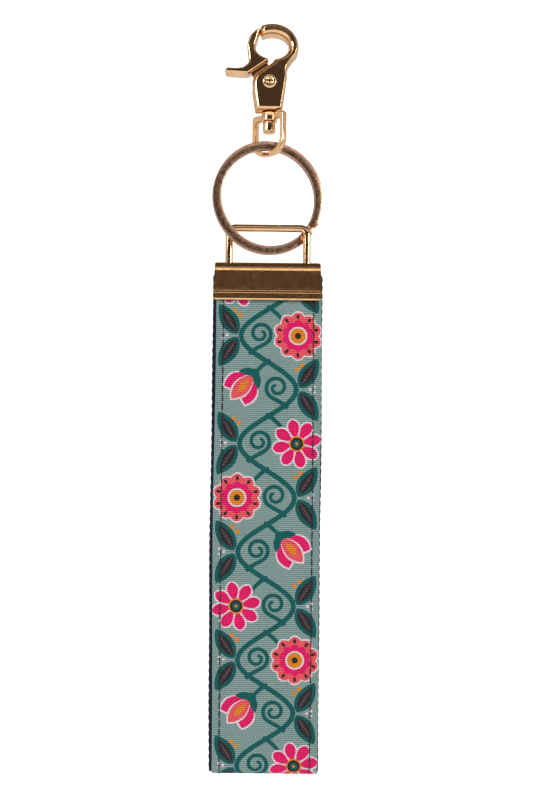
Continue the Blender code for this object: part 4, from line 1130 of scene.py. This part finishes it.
def crossings(points, ring):
    """How many times each point is wound round by the ring."""
    a = np.array(ring, float)
    b = np.roll(a, -1, 0)
    x, y = points[:, 0][:, None], points[:, 1][:, None]
    side = (b[:, 0] - a[:, 0]) * (y - a[:, 1]) - (x - a[:, 0]) * (b[:, 1] - a[:, 1])
    up = (a[:, 1] <= y) & (b[:, 1] > y) & (side > 0)
    down = (a[:, 1] > y) & (b[:, 1] <= y) & (side < 0)
    return up.sum(1) - down.sum(1)


def flat_mesh(outlines, low, high):
    """Triangles over the flat rectangle that follow every outline."""
    verts, edges = [], []

    def add(ring, closed=True):
        first, n = len(verts), len(ring)
        verts.extend(Vector(p) for p in ring)
        edges.extend((first + i, first + (i + 1) % n) for i in range(n if closed else n - 1))

    add([(low[0], low[1]), (high[0], low[1]), (high[0], high[1]), (low[0], high[1])])
    for y in np.arange(low[1] + 1.5, high[1], 1.5):
        add([(low[0] - 1, y), (high[0] + 1, y)], closed=False)
    for ring in outlines:
        add(ring)
    found = delaunay_2d_cdt(verts, edges, [], 0, 1e-4)
    spots = np.array([tuple(v) for v in found[0]])
    tris = np.array([f for f in found[2] if len(f) == 3])
    middle = spots[tris].mean(1)
    inside = np.all((middle > np.array(low)) & (middle < np.array(high)), axis=1)
    return spots, tris[inside], middle[inside]


def ribbon():
    """The printed ribbon: its inks are laid out flat, then the flat cut is wrapped round."""
    offset = WEB_THICK + SEAT_GAP + RIBBON_THICK
    even, place, normal = strap_line(offset, 0.25 * MM)
    total = even[-1] / MM
    lip = (END_TOP_Z - CLAMP_FOOT_Z) / MM
    low, high = (-RIBBON_WIDTH / 2 / MM, lip - total), (RIBBON_WIDTH / 2 / MM, lip)
    motifs = [(ink, np.array(ring, float)) for ink, ring in vine_print(high[1], low[1])]
    spots, tris, middle = flat_mesh([ring for ink, ring in motifs], low, high)
    inks = ["ground", "teal", "pink", "coral", "orange", "white", "black", "vein"]
    chosen = np.zeros(len(tris), int)
    for ink, ring in motifs:
        least, most = ring.min(0), ring.max(0)
        near = np.flatnonzero(np.all((middle > least) & (middle < most), axis=1))
        if len(near):
            hit = crossings(middle[near], ring) != 0
            chosen[near[hit]] = inks.index(ink)
    used = np.unique(tris)
    rename = np.full(len(spots), -1)
    rename[used] = np.arange(len(used))
    flat, tris = spots[used], rename[tris]
    outer = wrapped(flat, lip, even, place, normal, 0.0)
    inner = wrapped(flat, lip, even, place, normal, -RIBBON_THICK)
    count = len(flat)
    sides = {(a, b) for t in tris.tolist() for a, b in zip(t, t[1:] + t[:1])}
    edges = sorted(e for e in sides if e[::-1] not in sides)
    faces = [tuple(t) for t in tris]
    faces += [(b, a, a + count, b + count) for a, b in edges]
    faces += [(a + count, c + count, b + count) for a, b, c in tris]
    obj = new_piece("printed_ribbon_cloth", np.vstack([outer, inner]), faces, 50.0)
    cut_coordinates(obj, np.vstack([flat, flat]) * MM)
    tones = np.array([(*getattr(colours(), ink), 1.0) for ink in inks])
    layer = obj.data.attributes.new("Ink", "FLOAT_COLOR", "FACE")
    shades = np.tile(tones[0], (len(obj.data.polygons), 1))
    shades[:len(tris)] = tones[chosen]
    layer.data.foreach_set("color", shades.astype(np.float32).ravel())
    s = sizes()
    mat = cloth("Printed ribbon", ink_tone, s.weave_rib, s.weave_float, 0.10 * MM, 0.24,
                0.80, 0.03)
    drape(obj, mat, "printed_ribbon", "printed_ribbon", "ribbon_end_front", "ribbon_end_back")
    return obj


def wrapped(flat, lip, even, place, normal, offset):
    """The flat cut's points on the strap: along it, across it and offset from its face."""
    run = (lip - flat[:, 1]) * MM
    y, z = (np.interp(run, even, place[:, k]) for k in range(2))
    ny, nz = (np.interp(run, even, normal[:, k]) for k in range(2))
    sway = 0.07 * MM * np.sin(run * 70.0) + 0.10 * MM * np.sin(run * 55.0)
    x = flat[:, 0] * MM + RIBBON_OFFSET + sway
    return np.stack([x, y + ny * offset, z + nz * offset], axis=1)


# ---- Stage -------------------------------------------------------------------------------
def studio():
    """A pale room that is dark only round the lens, so flat plated faces mirror the dark."""
    scene = bpy.context.scene
    scene.view_settings.view_transform = "Standard"
    world = bpy.data.worlds.new("Studio")
    scene.world = world
    world.use_nodes = True
    tree = world.node_tree
    tree.nodes.clear()
    way = node(tree, "ShaderNodeTexCoord").outputs["Generated"]
    way = node(tree, "ShaderNodeSeparateXYZ", {0: way}).outputs
    behind = ranged(tree, way["Y"], 0.1, 0.4, 0.0, 0.42)
    strip = sum_of(tree, "ABSOLUTE", sum_of(tree, "SUBTRACT", way["Z"], 0.52))
    strip = ranged(tree, strip, 0.13, 0.05)
    above = sum_of(tree, "MULTIPLY", strip, ranged(tree, way["Y"], -0.2, -0.5))
    below = ranged(tree, way["Z"], -0.42, -0.60, 0.0, 0.66)
    side = ranged(tree, sum_of(tree, "ABSOLUTE", way["X"]), 0.84, 0.93, 0.0, 0.85)
    open_room = sum_of(tree, "MAXIMUM", sum_of(tree, "MAXIMUM", behind, above),
                       sum_of(tree, "MAXIMUM", below, side))
    tone = blended(tree, open_room, (0.070, 0.053, 0.043), (1.0, 0.93, 0.89))
    seen = node(tree, "ShaderNodeLightPath").outputs["Is Camera Ray"]
    tone = blended(tree, seen, tone, (1.0, 1.0, 1.0))
    power = sum_of(tree, "MULTIPLY_ADD", above, 0.8, 1.0)
    glow = node(tree, "ShaderNodeBackground", {"Color": tone, "Strength": power})
    node(tree, "ShaderNodeOutputWorld", {"Surface": glow.outputs[0]})
    for name, spot, size, power in LAMPS:
        data = bpy.data.lights.new(name, "AREA")
        data.shape = "DISK"
        data.size = size
        data.energy = power
        lamp = bpy.data.objects.new(name, data)
        lamp.location = spot
        aim = Vector((0.0, 0.0, -0.10)) - Vector(spot)
        lamp.rotation_euler = aim.to_track_quat("-Z", "Y").to_euler()
        scene.collection.objects.link(lamp)


def floor():
    """A pale sweep: a floor that curves up into a backdrop far behind. It is evenly white to the
    camera. It also gives the keychain a painted glow from below, stronger near the floor than up
    the sweep.
    """
    path = [(-1.4, FLOOR_Z), (SWEEP_START, FLOOR_Z)]
    path += [(SWEEP_START + SWEEP_RADIUS * math.sin(a),
              FLOOR_Z + SWEEP_RADIUS - SWEEP_RADIUS * math.cos(a))
             for a in np.linspace(0, math.pi / 2, 14)[1:]]
    path.append((SWEEP_START + SWEEP_RADIUS, 1.6))
    rows = [[(x, y, z) for y, z in path] for x in (-2.5, 2.5)]
    verts = [p for row in rows for p in row]
    obj = new_piece("floor", verts, grid_faces(2, len(path), closed=False), 60.0)
    mat, tree, shader = fresh("Pale paper")
    place = node(tree, "ShaderNodeTexCoord").outputs["Object"]
    mottle = node(tree, "ShaderNodeTexNoise", {"Vector": place, "Scale": 30.0})
    tree.links.new(blended(tree, mottle.outputs[0], (0.93, 0.93, 0.93), (0.96, 0.96, 0.955)),
                   shader.inputs["Base Color"])
    shader.inputs["Roughness"].default_value = 0.9
    shader.inputs["Emission Color"].default_value = (1.0, 1.0, 1.0, 1.0)
    seen = node(tree, "ShaderNodeLightPath").outputs["Is Camera Ray"]
    high = node(tree, "ShaderNodeSeparateXYZ", {0: place}).outputs["Z"]
    # painted glow: for every ray but the camera's, the floor glows though it is no lamp, more
    # strongly low down than up the sweep
    dim = ranged(tree, high, -0.29, -0.05, 0.40, 0.12)
    glow = sum_of(tree, "MAXIMUM", sum_of(tree, "MULTIPLY", seen, 0.85), dim)
    tree.links.new(glow, shader.inputs["Emission Strength"])
    obj.data.materials.append(mat)


def camera():
    """Square on to the strap, with perspective from close by."""
    data = bpy.data.cameras.new("View")
    data.sensor_width = SENSOR
    data.sensor_fit = "AUTO"
    data.lens = SENSOR * VIEW_DISTANCE / VIEW_HEIGHT
    data.clip_start = 0.01
    data.clip_end = 20.0
    obj = bpy.data.objects.new("View", data)
    look = Matrix.Rotation(math.radians(90), 4, "X") @ Matrix.Rotation(VIEW_ROLL, 4, "Z")
    obj.matrix_world = Matrix.Translation((0.0, -VIEW_DISTANCE, VIEW_MIDDLE_Z)) @ look
    bpy.context.scene.collection.objects.link(obj)
    bpy.context.scene.camera = obj


# ---- Operators, panel and main -------------------------------------------------------------
class MakeClasp(bpy.types.Operator):
    """Cast hook and body, the rivet and the lever's spring"""
    bl_idname = "keychain.make_clasp"
    bl_label = "Clasp Body, Rivet and Spring"

    def execute(self, context):
        clasp_body()
        rivet_head()
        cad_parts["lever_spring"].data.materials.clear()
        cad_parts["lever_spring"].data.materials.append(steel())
        return {"FINISHED"}


class MakeLever(bpy.types.Operator):
    """Trigger lever with its thumb tab"""
    bl_idname = "keychain.make_lever"
    bl_label = "Trigger Lever"

    def execute(self, context):
        trigger()
        return {"FINISHED"}


class MakeSwivel(bpy.types.Operator):
    """Swivel stem and bail"""
    bl_idname = "keychain.make_swivel"
    bl_label = "Swivel Stem and Bail"

    def execute(self, context):
        stem()
        bail()
        return {"FINISHED"}


class MakeRing(bpy.types.Operator):
    """Split ring"""
    bl_idname = "keychain.make_ring"
    bl_label = "Split Ring"

    def execute(self, context):
        split_ring()
        return {"FINISHED"}


class MakeLoop(bpy.types.Operator):
    """Bent wire loop"""
    bl_idname = "keychain.make_loop"
    bl_label = "Wire Loop"

    def execute(self, context):
        wire_loop()
        return {"FINISHED"}


class MakeClamp(bpy.types.Operator):
    """Folded strap clamp"""
    bl_idname = "keychain.make_clamp"
    bl_label = "Strap Clamp"

    def execute(self, context):
        strap_clamp()
        return {"FINISHED"}


class MakeWebbing(bpy.types.Operator):
    """Folded navy webbing"""
    bl_idname = "keychain.make_webbing"
    bl_label = "Webbing"

    def execute(self, context):
        webbing()
        return {"FINISHED"}


class MakeRibbon(bpy.types.Operator):
    """Printed ribbon on the webbing"""
    bl_idname = "keychain.make_ribbon"
    bl_label = "Printed Ribbon"

    def execute(self, context):
        ribbon()
        return {"FINISHED"}


class MakeStitching(bpy.types.Operator):
    """Two rows of lock stitches, needle and bobbin side"""
    bl_idname = "keychain.make_stitching"
    bl_label = "Stitching"

    def execute(self, context):
        stitching()
        return {"FINISHED"}


class MakeStage(bpy.types.Operator):
    """Floor, studio light and camera"""
    bl_idname = "keychain.make_stage"
    bl_label = "Stage"

    def execute(self, context):
        floor()
        studio()
        camera()
        return {"FINISHED"}


MAKERS = (MakeClasp, MakeLever, MakeSwivel, MakeRing, MakeLoop, MakeClamp, MakeWebbing,
          MakeRibbon, MakeStitching, MakeStage)


class KeychainPanel(bpy.types.Panel):
    bl_idname = "VIEW3D_PT_keychain"
    bl_label = "Wristlet Keychain"
    bl_space_type = "VIEW_3D"
    bl_region_type = "UI"
    bl_category = "Keychain"

    def draw(self, context):
        for group in (context.scene.keychain_sizes, context.scene.keychain_colours):
            box = self.layout.box()
            for word in group.__annotations__:
                box.prop(group, word)
        for maker in MAKERS:
            self.layout.operator(maker.bl_idname)


CLASSES = (KeychainSizes, KeychainColours, *MAKERS, KeychainPanel)


def register():
    for cls in CLASSES:
        bpy.utils.register_class(cls)
    bpy.types.Scene.keychain_sizes = PointerProperty(type=KeychainSizes)
    bpy.types.Scene.keychain_colours = PointerProperty(type=KeychainColours)


def unregister():
    del bpy.types.Scene.keychain_colours
    del bpy.types.Scene.keychain_sizes
    for cls in reversed(CLASSES):
        bpy.utils.unregister_class(cls)


def main():
    register()
    for maker in MAKERS:
        getattr(bpy.ops.keychain, maker.bl_idname.split(".")[1])()


if __name__ == "__main__":
    main()
